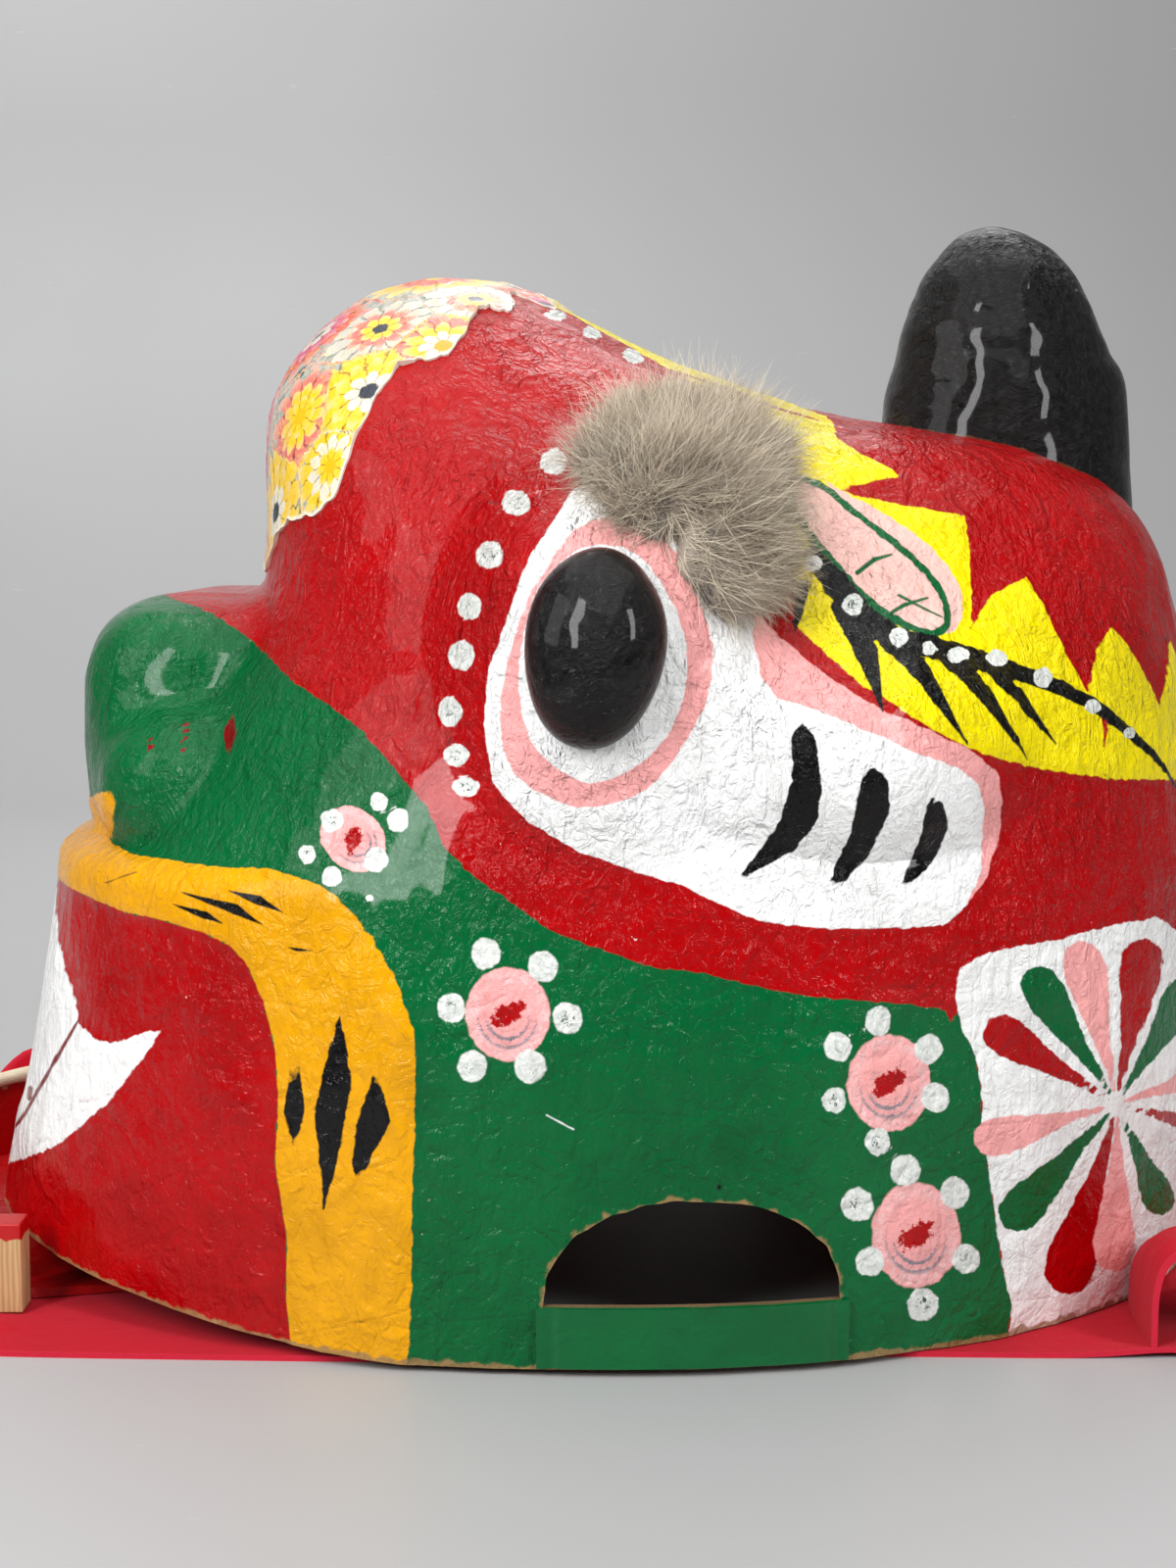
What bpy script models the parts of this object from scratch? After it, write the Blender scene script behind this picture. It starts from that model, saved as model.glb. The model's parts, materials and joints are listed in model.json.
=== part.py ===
"""Lion dance head: a hollow papier-mache head with horn, eyes, fur brows, jaw and cape.

Row frame: the face looks along -Y, +Z is up and the lion's left side is +X.
Sizes below are in millimetres, the finished meshes are in metres.
"""

import math

import bmesh
import bpy
import numpy as np
from mathutils import Vector
from mathutils.bvhtree import BVHTree

MM = 0.001
TAU = 2.0 * math.pi

WALL = 3.0
GAP = 0.3
SINK = 1.6
CLOTH = 2.0
RIM_Z = CLOTH + 0.4
LIP_LIFT = 19.0
LIP_BLEND_HEIGHT = 62.0
CORE_X, CORE_Y, CORE_Z = 0.0, -20.0, 120.0
LEDGE_DEPTH = 15.0
LEDGE_Z = 153.0

# Level sections of the head, rim to crown: height, front y, back y, y of the widest point,
# half-width, roundness of the front half, roundness of the back half.
LEVELS = (
    (RIM_Z, -234.5, 231.0, 6.0, 190.0, 2.25, 2.05),
    (40.0, -229.0, 233.0, 8.0, 192.5, 2.25, 2.05),
    (90.0, -219.0, 233.0, 10.0, 193.0, 2.25, 2.10),
    (133.0, -212.0, 232.0, 10.0, 190.0, 2.25, 2.10),
    (155.0, -208.0, 231.0, 10.0, 187.0, 2.25, 2.10),
    (168.0, -203.0, 230.0, 10.0, 184.5, 2.20, 2.10),
    (205.0, -167.0, 227.0, 10.0, 174.0, 2.20, 2.10),
    (240.0, -135.0, 221.0, 6.0, 159.0, 2.20, 2.15),
    (265.0, -129.0, 213.0, -4.0, 143.0, 2.30, 2.20),
    (286.0, -128.0, 200.0, -16.0, 129.0, 2.40, 2.20),
    (304.0, -128.0, 172.0, -30.0, 115.0, 2.40, 2.10),
    (317.5, -127.0, 92.0, -40.0, 101.0, 2.40, 1.95),
    (336.5, -119.0, 30.0, -48.0, 81.0, 2.30, 1.95),
    (353.5, -104.0, -6.0, -52.0, 58.0, 2.10, 2.00),
    (363.5, -88.0, -28.0, -55.0, 37.0, 2.00, 2.00),
    (368.0, -71.0, -42.0, -56.0, 18.0, 2.00, 2.00),
    (369.0, -56.0, -56.0, -56.0, 0.0, 2.00, 2.00),
)
CROWN = len(LEVELS) - 1

# Swellings merged into the levels: centre, radii, boxiness, blend.
SWELLINGS = (
    ((0.0, -139.0, 199.0), (76.0, 58.0, 52.0), 3.6, 10.0),
    ((66.0, -148.0, 184.0), (40.0, 37.0, 29.0), 2.2, 16.0),
    ((-66.0, -148.0, 184.0), (40.0, 37.0, 29.0), 2.2, 16.0),
    ((112.0, 2.0, 222.0), (79.0, 60.0, 80.0), 2.2, 22.0),
    ((-112.0, 2.0, 222.0), (79.0, 60.0, 80.0), 2.2, 22.0),
    ((112.0, 66.0, 200.0), (74.0, 72.0, 44.0), 2.2, 26.0),
    ((-112.0, 66.0, 200.0), (74.0, 72.0, 44.0), 2.2, 26.0),
)

AROUND = 64
FRONT_CROWDING = 0.35
SHELL_ROWS = (
    0.0, 0.7, 1.4, 2.2, 3.0, 3.6, 4.05, 4.45, 4.9, 5.4, 5.9, 6.4, 6.9, 7.4,
    7.9, 8.5, 9.2, 9.9, 10.6, 11.3, 12.0, 12.8, 13.6, 14.4, 15.2,
)

OPENING_Y = 28.5
OPENING_HALF = 49.0
OPENING_SILL_Z = 24.0
OPENING_RISE = 36.0
CARD = 1.2
SILL_BACK, SILL_FRONT = 51.5, 51.5

EYE_Y, EYE_Z = -3.5, 239.0
EYE_HALF_Y, EYE_HALF_Z, EYE_TILT = 21.5, 31.5, math.radians(7.0)
EYE_BULGE = 15.0

# Fur tuft outline seen from the side, set over the eye: centre y, centre z, half-width, half-height.
FUR_LOBES = (
    (EYE_Y + 30.5, EYE_Z + 58.0, 37.0, 25.0),
    (EYE_Y + 45.5, EYE_Z + 28.0, 20.0, 20.0),
)
FUR_MID_Y, FUR_MID_Z = EYE_Y + 34.5, EYE_Z + 49.0
FUR_LOCKS = 13
FUR_BACKING = 4.5
FUR_HEIGHT = 19.0

# Horn outline: height, y of the middle, half-length, half-width.
HORN_ROWS = (
    (327.0, 156.0, 45.0, 38.0),
    (342.0, 154.5, 40.0, 34.0),
    (354.0, 153.5, 36.0, 30.5),
    (370.5, 153.0, 29.0, 24.0),
    (381.0, 152.0, 20.5, 17.0),
    (387.0, 150.5, 12.5, 10.5),
)
HORN_TOP = (390.5, 150.0)
HORN_FOOT = (157.5, 49.0, 42.0)
HORN_WALL = 2.5

DECAL_LOBES = 11
DECAL_SCALLOP = 0.035
DECAL_THICK = 1.9

# The jaw's plan keeps its distance from the head's rim.
JAW_AHEAD, JAW_BESIDE, JAW_ROUND = 53.5, 12.0, 2.2
JAW_REACH = JAW_AHEAD - LEVELS[0][1]
JAW_HALF_WIDTH = LEVELS[0][4] - JAW_BESIDE
JAW_INNER_HALF, JAW_INNER_REACH = 150.0, 196.0
JAW_SPREAD = math.radians(41.5)
JAW_TOP_Z = 33.0
JAW_WALL = 3.0
JAW_FLOOR_Z = CLOTH + 0.4

CLOTH_HALF_LENGTH = 300.0
CLOTH_NEAR_X, CLOTH_FAR_X = 176.0, -194.0
CORNER_RAISE, CORNER_X, CORNER_Y = 36.0, 66.0, 78.0
PLEAT_FROM_END = 89.0
PLEAT_Y = CLOTH_HALF_LENGTH - PLEAT_FROM_END
PLEAT_THICK = 2.2
PLEAT_HEIGHT, PLEAT_HALF = 38.5, 28.0
PLEAT_FROM_EDGE, PLEAT_FROM_RIM = 4.0, 1.5


def monotone_slopes(values):
    """Slopes of a smooth curve through equally spaced values, with no overshoot."""
    step = np.diff(values, axis=0)
    slopes = np.zeros_like(values)
    product = step[:-1] * step[1:]
    total = step[:-1] + step[1:]
    safe = np.where(np.abs(total) < 1e-9, 1.0, total)
    slopes[1:-1] = np.where(product > 0.0, 2.0 * product / safe, 0.0)
    slopes[0] = step[0]
    slopes[-1] = step[-1]
    return slopes


LEVEL_VALUES = np.array(LEVELS, float)
LEVEL_SLOPES = monotone_slopes(LEVEL_VALUES)


def level_at(t):
    """Interpolated level section at the row position t."""
    t = np.clip(np.asarray(t, float), 0.0, CROWN)
    low = np.minimum(t.astype(int), CROWN - 1)
    u = (t - low)[..., None]
    start, end = LEVEL_VALUES[low], LEVEL_VALUES[low + 1]
    leave, arrive = LEVEL_SLOPES[low], LEVEL_SLOPES[low + 1]
    u2, u3 = u * u, u * u * u
    return (
        (2.0 * u3 - 3.0 * u2 + 1.0) * start
        + (u3 - 2.0 * u2 + u) * leave
        + (3.0 * u2 - 2.0 * u3) * end
        + (u3 - u2) * arrive
    )


def smooth_step(value):
    """Smooth 0 to 1 ramp."""
    value = np.clip(value, 0.0, 1.0)
    return value * value * (3.0 - 2.0 * value)


def swelling_reach(core, direction, centre, radii, boxiness):
    """Distance along each ray at which it leaves the swelling, 0 where it misses."""
    centre = np.array(centre)
    radii = np.array(radii)
    near = np.clip(np.sum((centre - core) * direction, axis=-1), 1.0, None)

    def gauge(distance):
        local = np.abs((core + direction * distance[..., None] - centre) / radii)
        return np.sum(local**boxiness, axis=-1)

    inside = gauge(near) < 1.0
    low, high = near.copy(), near + 2.0 * radii.max()
    for _ in range(26):
        middle = 0.5 * (low + high)
        within = gauge(middle) < 1.0
        low = np.where(within, middle, low)
        high = np.where(within, high, middle)
    return np.where(inside, low, 0.0)


def skin(around, t):
    """Points of the head's outer surface: around is the angle from the front, t the row."""
    around, t = np.broadcast_arrays(np.asarray(around, float), np.asarray(t, float))
    z, front, back, wide, half, round_f, round_b = np.moveaxis(level_at(t), -1, 0)
    c, s = np.cos(around), np.sin(around)
    roundness = np.where(c >= 0.0, round_f, round_b)
    reach = np.where(c >= 0.0, wide - front, back - wide)
    scale = (np.abs(c) ** roundness + np.abs(s) ** roundness) ** (-1.0 / roundness)
    lift = LIP_LIFT * smooth_step((c - 0.25) / 0.75)
    lift = lift * np.clip(1.0 - (z - RIM_Z) / LIP_BLEND_HEIGHT, 0.0, 1.0)
    ledge = smooth_step((z - LEDGE_Z) / 14.0) * (1.0 - smooth_step((z - LEDGE_Z - 20.0) / 65.0))
    inset = LEDGE_DEPTH * ledge * smooth_step((c - 0.36) / 0.40)
    points = np.stack([half * scale * s, wide - reach * scale * c + inset * c, z + lift], axis=-1)
    core = np.stack(
        [np.full_like(z, CORE_X), np.full_like(z, CORE_Y), np.minimum(z, CORE_Z)], axis=-1
    )
    ray = points - core
    length = np.linalg.norm(ray, axis=-1)
    direction = ray / np.maximum(length, 1e-6)[..., None]
    for centre, radii, boxiness, blend in SWELLINGS:
        reach_out = swelling_reach(core, direction, centre, radii, boxiness)
        mix = np.clip(0.5 + 0.5 * (reach_out - length) / blend, 0.0, 1.0)
        length = length + (reach_out - length) * mix + blend * mix * (1.0 - mix)
    return core + direction * length[..., None]


def skin_normal(around, t):
    """Outward unit normals of the outer surface."""
    step_a, step_t = 0.004, 0.02
    t = np.clip(np.asarray(t, float), step_t, CROWN - 0.15)
    along = skin(around + step_a, t) - skin(around - step_a, t)
    upward = skin(around, t + step_t) - skin(around, t - step_t)
    normal = np.cross(along, upward)
    return normal / np.linalg.norm(normal, axis=-1)[..., None]


def skin_at(targets, axes, side=1.0):
    """Surface positions (around, t) whose two chosen coordinates are the targets."""
    around_grid, t_grid = np.meshgrid(
        np.linspace(0.02, math.pi - 0.02, 121), np.linspace(0.05, CROWN - 0.1, 129)
    )
    around_grid, t_grid = around_grid.ravel() * side, t_grid.ravel()
    sample = skin(around_grid, t_grid)[:, axes]
    targets = np.asarray(targets, float)
    pick = np.array([np.argmin(((sample - p) ** 2).sum(1)) for p in targets])
    around, t = around_grid[pick].copy(), t_grid[pick].copy()
    for _ in range(12):
        here = skin(around, t)[:, axes]
        by_a = (skin(around + 1e-3, t)[:, axes] - here) / 1e-3
        by_t = (skin(around, t + 1e-3)[:, axes] - here) / 1e-3
        error = targets - here
        det = by_a[:, 0] * by_t[:, 1] - by_a[:, 1] * by_t[:, 0]
        det = np.where(np.abs(det) < 1e-3, 1e-3, det)
        move_a = (error[:, 0] * by_t[:, 1] - error[:, 1] * by_t[:, 0]) / det
        move_t = (by_a[:, 0] * error[:, 1] - by_a[:, 1] * error[:, 0]) / det
        around = around + np.clip(move_a, -0.05, 0.05)
        t = np.clip(t + np.clip(move_t, -0.3, 0.3), 0.02, CROWN - 0.1)
    return around, t


def angles_round(count):
    """Angles round the head, closer together at the face."""
    u = np.arange(count) / count * TAU
    return u - FRONT_CROWDING * np.sin(u)


class Seat:
    """The faceted outside of the head, on which the other pieces are set."""

    tree = None

    @classmethod
    def take(cls, points, faces):
        """Keeps the facets to seat pieces on."""
        cls.tree = BVHTree.FromPolygons([Vector(p) for p in points], faces)

    @classmethod
    def drop(cls, points, normals, lift):
        """Moves points along their normals until they stand lift mm over the facets."""
        seated = []
        for point, normal in zip(points, normals):
            start = Vector(point + normal * 30.0)
            spot = cls.tree.ray_cast(start, Vector(-normal))[0]
            here = np.array(spot) if spot is not None else point
            seated.append(here + normal * lift)
        return np.array(seated)


class Solid:
    """Collects vertices and faces of one closed piece, in millimetres."""

    def __init__(self):
        self.points = []
        self.faces = []

    def add(self, points):
        """Stores points and gives the number of the first one."""
        first = len(self.points)
        self.points.extend(np.asarray(points, float).reshape(-1, 3).tolist())
        return first

    def ring(self, points):
        """Stores a ring and gives its vertex numbers."""
        first = self.add(points)
        return list(range(first, len(self.points)))

    def bridge(self, lower, upper, closed=True):
        """Quads between two rings of equal length."""
        count = len(lower)
        for i in range(count if closed else count - 1):
            j = (i + 1) % count
            self.faces.append((lower[i], lower[j], upper[j], upper[i]))

    def fan(self, ring, tip, closed=True):
        """Triangles from a ring to one point."""
        count = len(ring)
        for i in range(count if closed else count - 1):
            self.faces.append((ring[i], ring[(i + 1) % count], tip))

    def cap(self, ring):
        """One face over a ring."""
        self.faces.append(tuple(ring))

    def build(self, name, colour, roughness=0.4, slot=None):
        """Makes the object with outward faces and its own material."""
        mesh = bpy.data.meshes.new(name)
        mesh.from_pydata([tuple(v * MM for v in p) for p in self.points], [], self.faces)
        work = bmesh.new()
        work.from_mesh(mesh)
        bmesh.ops.recalc_face_normals(work, faces=work.faces)
        bmesh.ops.triangulate(work, faces=work.faces)
        if work.calc_volume(signed=True) < 0.0:
            bmesh.ops.reverse_faces(work, faces=work.faces)
        work.to_mesh(mesh)
        work.free()
        mesh.validate()
        obj = bpy.data.objects.new(name, mesh)
        bpy.context.scene.collection.objects.link(obj)
        obj.data.materials.append(finish(slot or name, colour, roughness))
        return obj


def finish(name, colour, roughness):
    """A plain Principled material."""
    found = bpy.data.materials.get(name)
    if found:
        return found
    material = bpy.data.materials.new(name)
    material.use_nodes = True
    shader = material.node_tree.nodes["Principled BSDF"]
    shader.inputs["Base Color"].default_value = (*colour, 1.0)
    shader.inputs["Roughness"].default_value = roughness
    material.diffuse_color = (*colour, 1.0)
    return material


def build_shell():
    """The hollow head, open below, with its two half-moon openings."""
    solid = Solid()
    around = angles_round(AROUND)
    outer, inner = [], []
    for t in SHELL_ROWS:
        rows_t = np.full(AROUND, t)
        outside = skin(around, rows_t)
        inside = outside - WALL * skin_normal(around, rows_t)
        if t == 0.0:
            inside[:, 2] = outside[:, 2]
        outer.append(solid.ring(outside))
        inner.append(solid.ring(inside))
    for low, high in zip(outer[:-1], outer[1:]):
        solid.bridge(low, high)
    for low, high in zip(inner[:-1], inner[1:]):
        solid.bridge(high, low)
    crown = skin(np.array([0.0]), np.array([float(CROWN)]))
    solid.fan(outer[-1], solid.add(crown))
    inner_tip = solid.add(crown - np.array([[0.0, 0.0, WALL]]))
    solid.fan(inner[-1][::-1], inner_tip)
    inside_numbers = {inner_tip, *(number for ring in inner for number in ring)}
    solid.bridge(inner[0], outer[0])
    skin_faces = [f for f in solid.faces if not set(f) & inside_numbers]
    Seat.take(solid.points, skin_faces)
    shell = solid.build("head_shell", (0.50, 0.03, 0.03), 0.35, "papier_mache")
    build_form(around)
    for side in (1.0, -1.0):
        cutter = opening_cutter(side)
        cut = shell.modifiers.new("side opening", "BOOLEAN")
        cut.operation = "DIFFERENCE"
        cut.solver = "EXACT"
        cut.object = cutter


def build_form(around):
    """Solid of the head grown by the gap, which trims whatever is glued on the skin."""
    form = Solid()
    rings = []
    for t in SHELL_ROWS:
        rows_t = np.full(AROUND, t)
        rings.append(form.ring(skin(around, rows_t) + GAP * skin_normal(around, rows_t)))
    for low, high in zip(rings[:-1], rings[1:]):
        form.bridge(low, high)
    crown = skin(np.array([0.0]), np.array([float(CROWN)]))
    form.fan(rings[-1], form.add(crown + np.array([[0.0, 0.0, GAP]])))
    form.fan(rings[0][::-1], form.add((0.0, 0.0, RIM_Z)))
    cutter = form.build("head_form", (0.3, 0.3, 0.3))
    cutter.hide_render = True
    cutter.display_type = "WIRE"


def trim_to_skin(obj):
    """Cuts a sunk piece back so that it sits on the skin with the gap."""
    cut = obj.modifiers.new("seat", "BOOLEAN")
    cut.operation = "DIFFERENCE"
    cut.solver = "EXACT"
    cut.object = bpy.data.objects["head_form"]
    return obj


def opening_cutter(side):
    """Half-moon prism that cuts one side opening."""
    solid = Solid()
    angles = np.linspace(0.0, math.pi, 15)
    arch_y = OPENING_Y - OPENING_HALF * np.cos(angles)
    arch_z = OPENING_SILL_Z + OPENING_RISE * np.sin(angles) ** 0.85
    ends = []
    widest = LEVELS[2][4]
    for x in (0.78 * widest, 1.16 * widest):
        ends.append(solid.ring(np.stack([np.full(15, side * x), arch_y, arch_z], axis=-1)))
    solid.bridge(ends[0], ends[1])
    solid.cap(ends[0][::-1])
    solid.cap(ends[1])
    name = "opening_cutter_left" if side > 0.0 else "opening_cutter_right"
    cutter = solid.build(name, (0.3, 0.3, 0.3))
    cutter.hide_render = True
    cutter.display_type = "WIRE"
    return cutter


def dome_on_skin(name, side, outline, height, sectors, rings, colour, rough, slot, thick=0.0):
    """Closed cap on the side of the head: outline(angle) gives y, z; height(angle, r) mm."""
    solid = Solid()
    angles = np.arange(sectors) / sectors * TAU
    edge_y, edge_z, mid_y, mid_z = outline(angles)
    fractions = np.linspace(0.0, 1.0, rings + 1)[1:]
    targets = [(mid_y, mid_z)]
    for r in fractions:
        targets.extend(zip(mid_y + (edge_y - mid_y) * r, mid_z + (edge_z - mid_z) * r))
    a, t = skin_at(targets, [1, 2], side)
    base = skin(a, t)
    normal = skin_normal(a, t)
    heights = np.concatenate([height(0.0, 0.0), *[height(angles, r) for r in fractions]])
    low = Seat.drop(base, normal, -SINK)
    high = low + normal * (thick + heights)[:, None]
    low_tip = solid.add(low[0])
    high_tip = solid.add(high[0])
    low_rings, high_rings = [], []
    for k in range(rings):
        part = slice(1 + k * sectors, 1 + (k + 1) * sectors)
        low_rings.append(solid.ring(low[part]))
        if k < rings - 1 or thick > 0.0:
            high_rings.append(solid.ring(high[part]))
    if thick <= 0.0:
        high_rings.append(low_rings[-1])
    solid.fan(low_rings[0], low_tip)
    solid.fan(high_rings[0], high_tip)
    for k in range(rings - 1):
        solid.bridge(low_rings[k], low_rings[k + 1])
        solid.bridge(high_rings[k], high_rings[k + 1])
    if thick > 0.0:
        solid.bridge(low_rings[-1], high_rings[-1])
    return trim_to_skin(solid.build(name, colour, rough, slot))


def eye_outline(angles):
    """Oval of the pupil, leaning back a little at the top."""
    u, v = EYE_HALF_Y * np.cos(angles), EYE_HALF_Z * np.sin(angles)
    y = EYE_Y + u * math.cos(EYE_TILT) + v * math.sin(EYE_TILT)
    z = EYE_Z - u * math.sin(EYE_TILT) + v * math.cos(EYE_TILT)
    return y, z, EYE_Y, EYE_Z


def eye_height(angles, r):
    """Dome of the pupil."""
    return np.atleast_1d((SINK + EYE_BULGE) * (1.0 - r * r) ** 0.5) * np.ones(np.size(angles))


def fur_outline(angles):
    """Edge of the fur tuft with pointed locks."""
    mid_y, mid_z = FUR_MID_Y, FUR_MID_Z
    best = np.zeros_like(angles)
    for y, z, half_y, half_z in FUR_LOBES:
        for r in np.linspace(0.1 * half_y, 1.9 * half_y, 133):
            py, pz = mid_y + r * np.cos(angles), mid_z + r * np.sin(angles)
            within = ((py - y) / half_y) ** 2 + ((pz - z) / half_z) ** 2 < 1.0
            best = np.where(within, np.maximum(best, r), best)
    locks = 1.0 + 0.07 * np.cos(FUR_LOCKS * angles)
    return mid_y + best * locks * np.cos(angles), mid_z + best * locks * np.sin(angles), mid_y, mid_z


def fur_height(angles, r):
    """Locks that thin out towards the edge."""
    locks = 1.0 + 0.16 * np.cos(FUR_LOCKS * np.asarray(angles)) * r
    return np.atleast_1d(FUR_HEIGHT * (1.0 - r**2.6) ** 0.7 * locks) * np.ones(np.size(angles))


def build_horn():
    """Hollow horn standing on the crown behind the ridge."""
    count = 24
    angles = np.arange(count) / count * TAU
    foot_y, foot_half_y, foot_half_x = HORN_FOOT

    def foot(shrink):
        x = (foot_half_x - shrink) * np.cos(angles)
        y = foot_y + (foot_half_y - shrink) * np.sin(angles)
        rings = []
        for side in (1.0, -1.0):
            a, t = skin_at(np.stack([np.abs(x), y], -1), [0, 1])
            rings.append((a * side, t))
        a = np.where(x >= 0.0, rings[0][0], rings[1][0])
        return Seat.drop(skin(a, rings[0][1]), skin_normal(a, rings[0][1]), -SINK)

    def body(row, shrink):
        z, y, half_y, half_x = row
        ridge = 1.0 + 0.03 * np.cos(4.0 * angles)
        return np.stack(
            [
                (half_x - shrink) * np.cos(angles) * ridge,
                y + (half_y - shrink) * np.sin(angles) * ridge,
                np.full(count, z),
            ],
            axis=-1,
        )

    solid = Solid()
    rows_out = [solid.ring(foot(0.0))] + [solid.ring(body(r, 0.0)) for r in HORN_ROWS]
    rows_in = [solid.ring(foot(HORN_WALL))]
    rows_in += [solid.ring(body(r, HORN_WALL)) for r in HORN_ROWS[:-1]]
    for low, high in zip(rows_out[:-1], rows_out[1:]):
        solid.bridge(low, high)
    for low, high in zip(rows_in[:-1], rows_in[1:]):
        solid.bridge(high, low)
    top_z, top_y = HORN_TOP
    solid.fan(rows_out[-1], solid.add((0.0, top_y, top_z)))
    solid.fan(rows_in[-1][::-1], solid.add((0.0, top_y, top_z - 2.0 * HORN_WALL)))
    solid.bridge(rows_in[0], rows_out[0])
    trim_to_skin(solid.build("horn", (0.02, 0.02, 0.02), 0.2))


def decal_edge(angles):
    """Row at which the pasted sheet ends, for each angle round the head."""
    c = np.cos(angles)
    base = 13.6 - 1.4 * smooth_step((c + 0.6) / 0.9) - 4.1 * smooth_step((c - 0.16) / 0.8)
    return base + DECAL_SCALLOP * 8.0 * np.cos(DECAL_LOBES * angles)


def build_decal():
    """Thin scalloped sheet that follows the forehead."""
    count, rings = AROUND // 2, 6
    angles = angles_round(count)
    edge = decal_edge(angles)
    solid = Solid()
    lows, highs = [], []
    for k in range(rings + 1):
        t = (CROWN - 0.6) + (edge - (CROWN - 0.6)) * k / rings
        base, normal = skin(angles, t), skin_normal(angles, t)
        low = Seat.drop(base, normal, -SINK)
        lows.append(solid.ring(low))
        highs.append(solid.ring(low + normal * (SINK + DECAL_THICK)))
    crown = skin(np.array([0.0]), np.array([float(CROWN)]))[0]
    up = np.array([0.0, 0.0, 1.0])
    solid.fan(lows[0], solid.add(crown - up * SINK))
    solid.fan(highs[0], solid.add(crown + up * DECAL_THICK))
    for k in range(rings):
        solid.bridge(lows[k], lows[k + 1])
        solid.bridge(highs[k], highs[k + 1])
    solid.bridge(lows[-1], highs[-1])
    trim_to_skin(solid.build("forehead_decal", (0.85, 0.45, 0.12), 0.5))


def jaw_curve(half, reach, angle):
    """Point of a jaw curve in plan, by angle from the front."""
    c, s = np.cos(angle), np.sin(angle)
    scale = (np.abs(c) ** JAW_ROUND + np.abs(s) ** JAW_ROUND) ** (-1.0 / JAW_ROUND)
    return half * scale * s, -reach * scale * c


def sweep(name, stations, profile, colour, rough, slot=None):
    """Closed sweep of a profile: profile(angle) gives its points."""
    solid = Solid()
    rings = [solid.ring(profile(angle)) for angle in stations]
    for low, high in zip(rings[:-1], rings[1:]):
        solid.bridge(low, high)
    solid.cap(rings[0][::-1])
    solid.cap(rings[-1])
    return solid.build(name, colour, rough, slot)


def jaw_profile(angle):
    """Cross-section of the scoop: floor under the muzzle and an upright wall in front."""
    inner_x, inner_y = jaw_curve(JAW_INNER_HALF, JAW_INNER_REACH, angle)
    foot_x, foot_y = jaw_curve(JAW_HALF_WIDTH - 6.0, JAW_REACH - 8.0, angle)
    top_x, top_y = jaw_curve(JAW_HALF_WIDTH, JAW_REACH, angle)
    in_x, in_y = jaw_curve(JAW_HALF_WIDTH - 6.0 - JAW_WALL, JAW_REACH - 8.0 - JAW_WALL, angle)
    rim_x, rim_y = jaw_curve(JAW_HALF_WIDTH - JAW_WALL, JAW_REACH - JAW_WALL, angle)
    z = JAW_FLOOR_Z
    return np.array([
        (inner_x, inner_y, z),
        (foot_x, foot_y, z),
        (top_x, top_y, JAW_TOP_Z),
        (rim_x, rim_y, JAW_TOP_Z),
        (in_x, in_y, z + JAW_WALL),
        (inner_x, inner_y, z + 0.8 * JAW_WALL),
    ])


def rim_profile(angle):
    """Rounded band on top of the jaw wall."""
    x, y = jaw_curve(JAW_HALF_WIDTH - 1.5, JAW_REACH - 1.5, angle)
    length = math.hypot(x, y)
    out_x, out_y = x / length, y / length
    points = []
    for du, dz in ((-3.2, 0.0), (3.2, 0.0), (4.4, 2.6), (3.0, 5.2), (-3.0, 5.2), (-4.4, 2.6)):
        points.append((x + du * out_x, y + du * out_y, JAW_TOP_Z + GAP + dz))
    return np.array(points)


def block_at(name, side):
    """Small wooden block standing at one end of the jaw wall."""
    angle = side * (JAW_SPREAD + math.radians(2.7))
    x, y = jaw_curve(JAW_HALF_WIDTH - 4.0, JAW_REACH - 4.0, angle)
    solid = Solid()
    z = JAW_FLOOR_Z
    rings = []
    for inset, height in ((0.0, z), (0.0, JAW_TOP_Z), (1.2, JAW_TOP_Z + 1.5)):
        hx, hy = 7.0 - inset, 5.5 - inset
        corners = [(x - hx, y - hy), (x + hx, y - hy), (x + hx, y + hy), (x - hx, y + hy)]
        rings.append(solid.ring([(cx, cy, height) for cx, cy in corners]))
    for low, high in zip(rings[:-1], rings[1:]):
        solid.bridge(low, high)
    solid.cap(rings[0][::-1])
    solid.cap(rings[-1])
    solid.build(name, (0.62, 0.45, 0.28), 0.6, "wood")


def build_jaw():
    """Scoop, its cream band and the blocks at its ends."""
    stations = np.linspace(-JAW_SPREAD, JAW_SPREAD, 25)
    sweep("lower_jaw", stations, jaw_profile, (0.50, 0.03, 0.03), 0.45, "jaw_paint")
    sweep("jaw_rim", stations, rim_profile, (0.83, 0.75, 0.62), 0.8)
    block_at("jaw_block_left", 1.0)
    block_at("jaw_block_right", -1.0)


def build_sill(name, side):
    """Card strip below one side opening."""
    columns, rows = 9, 2
    y = np.linspace(OPENING_Y - SILL_FRONT, OPENING_Y + SILL_BACK, columns)
    z = np.linspace(RIM_Z + 0.4, OPENING_SILL_Z, rows)
    grid = [(py, pz) for pz in z for py in y]
    a, t = skin_at(grid, [1, 2], side)
    base, normal = skin(a, t), skin_normal(a, t)
    solid = Solid()
    low_points = Seat.drop(base, normal, -SINK)
    low = np.array(solid.ring(low_points)).reshape(rows, columns)
    high = np.array(solid.ring(low_points + normal * (SINK + GAP + CARD))).reshape(rows, columns)
    for k in range(rows - 1):
        solid.bridge(low[k], low[k + 1], closed=False)
        solid.bridge(high[k], high[k + 1], closed=False)
    around = list(range(columns)), list(range(columns - 1, -1, -1))
    edge = [(0, i) for i in around[0]] + [(rows - 1, i) for i in around[1]]
    solid.bridge([low[e] for e in edge], [high[e] for e in edge])
    trim_to_skin(solid.build(name, (0.50, 0.03, 0.03), 0.45, "card"))


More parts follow.
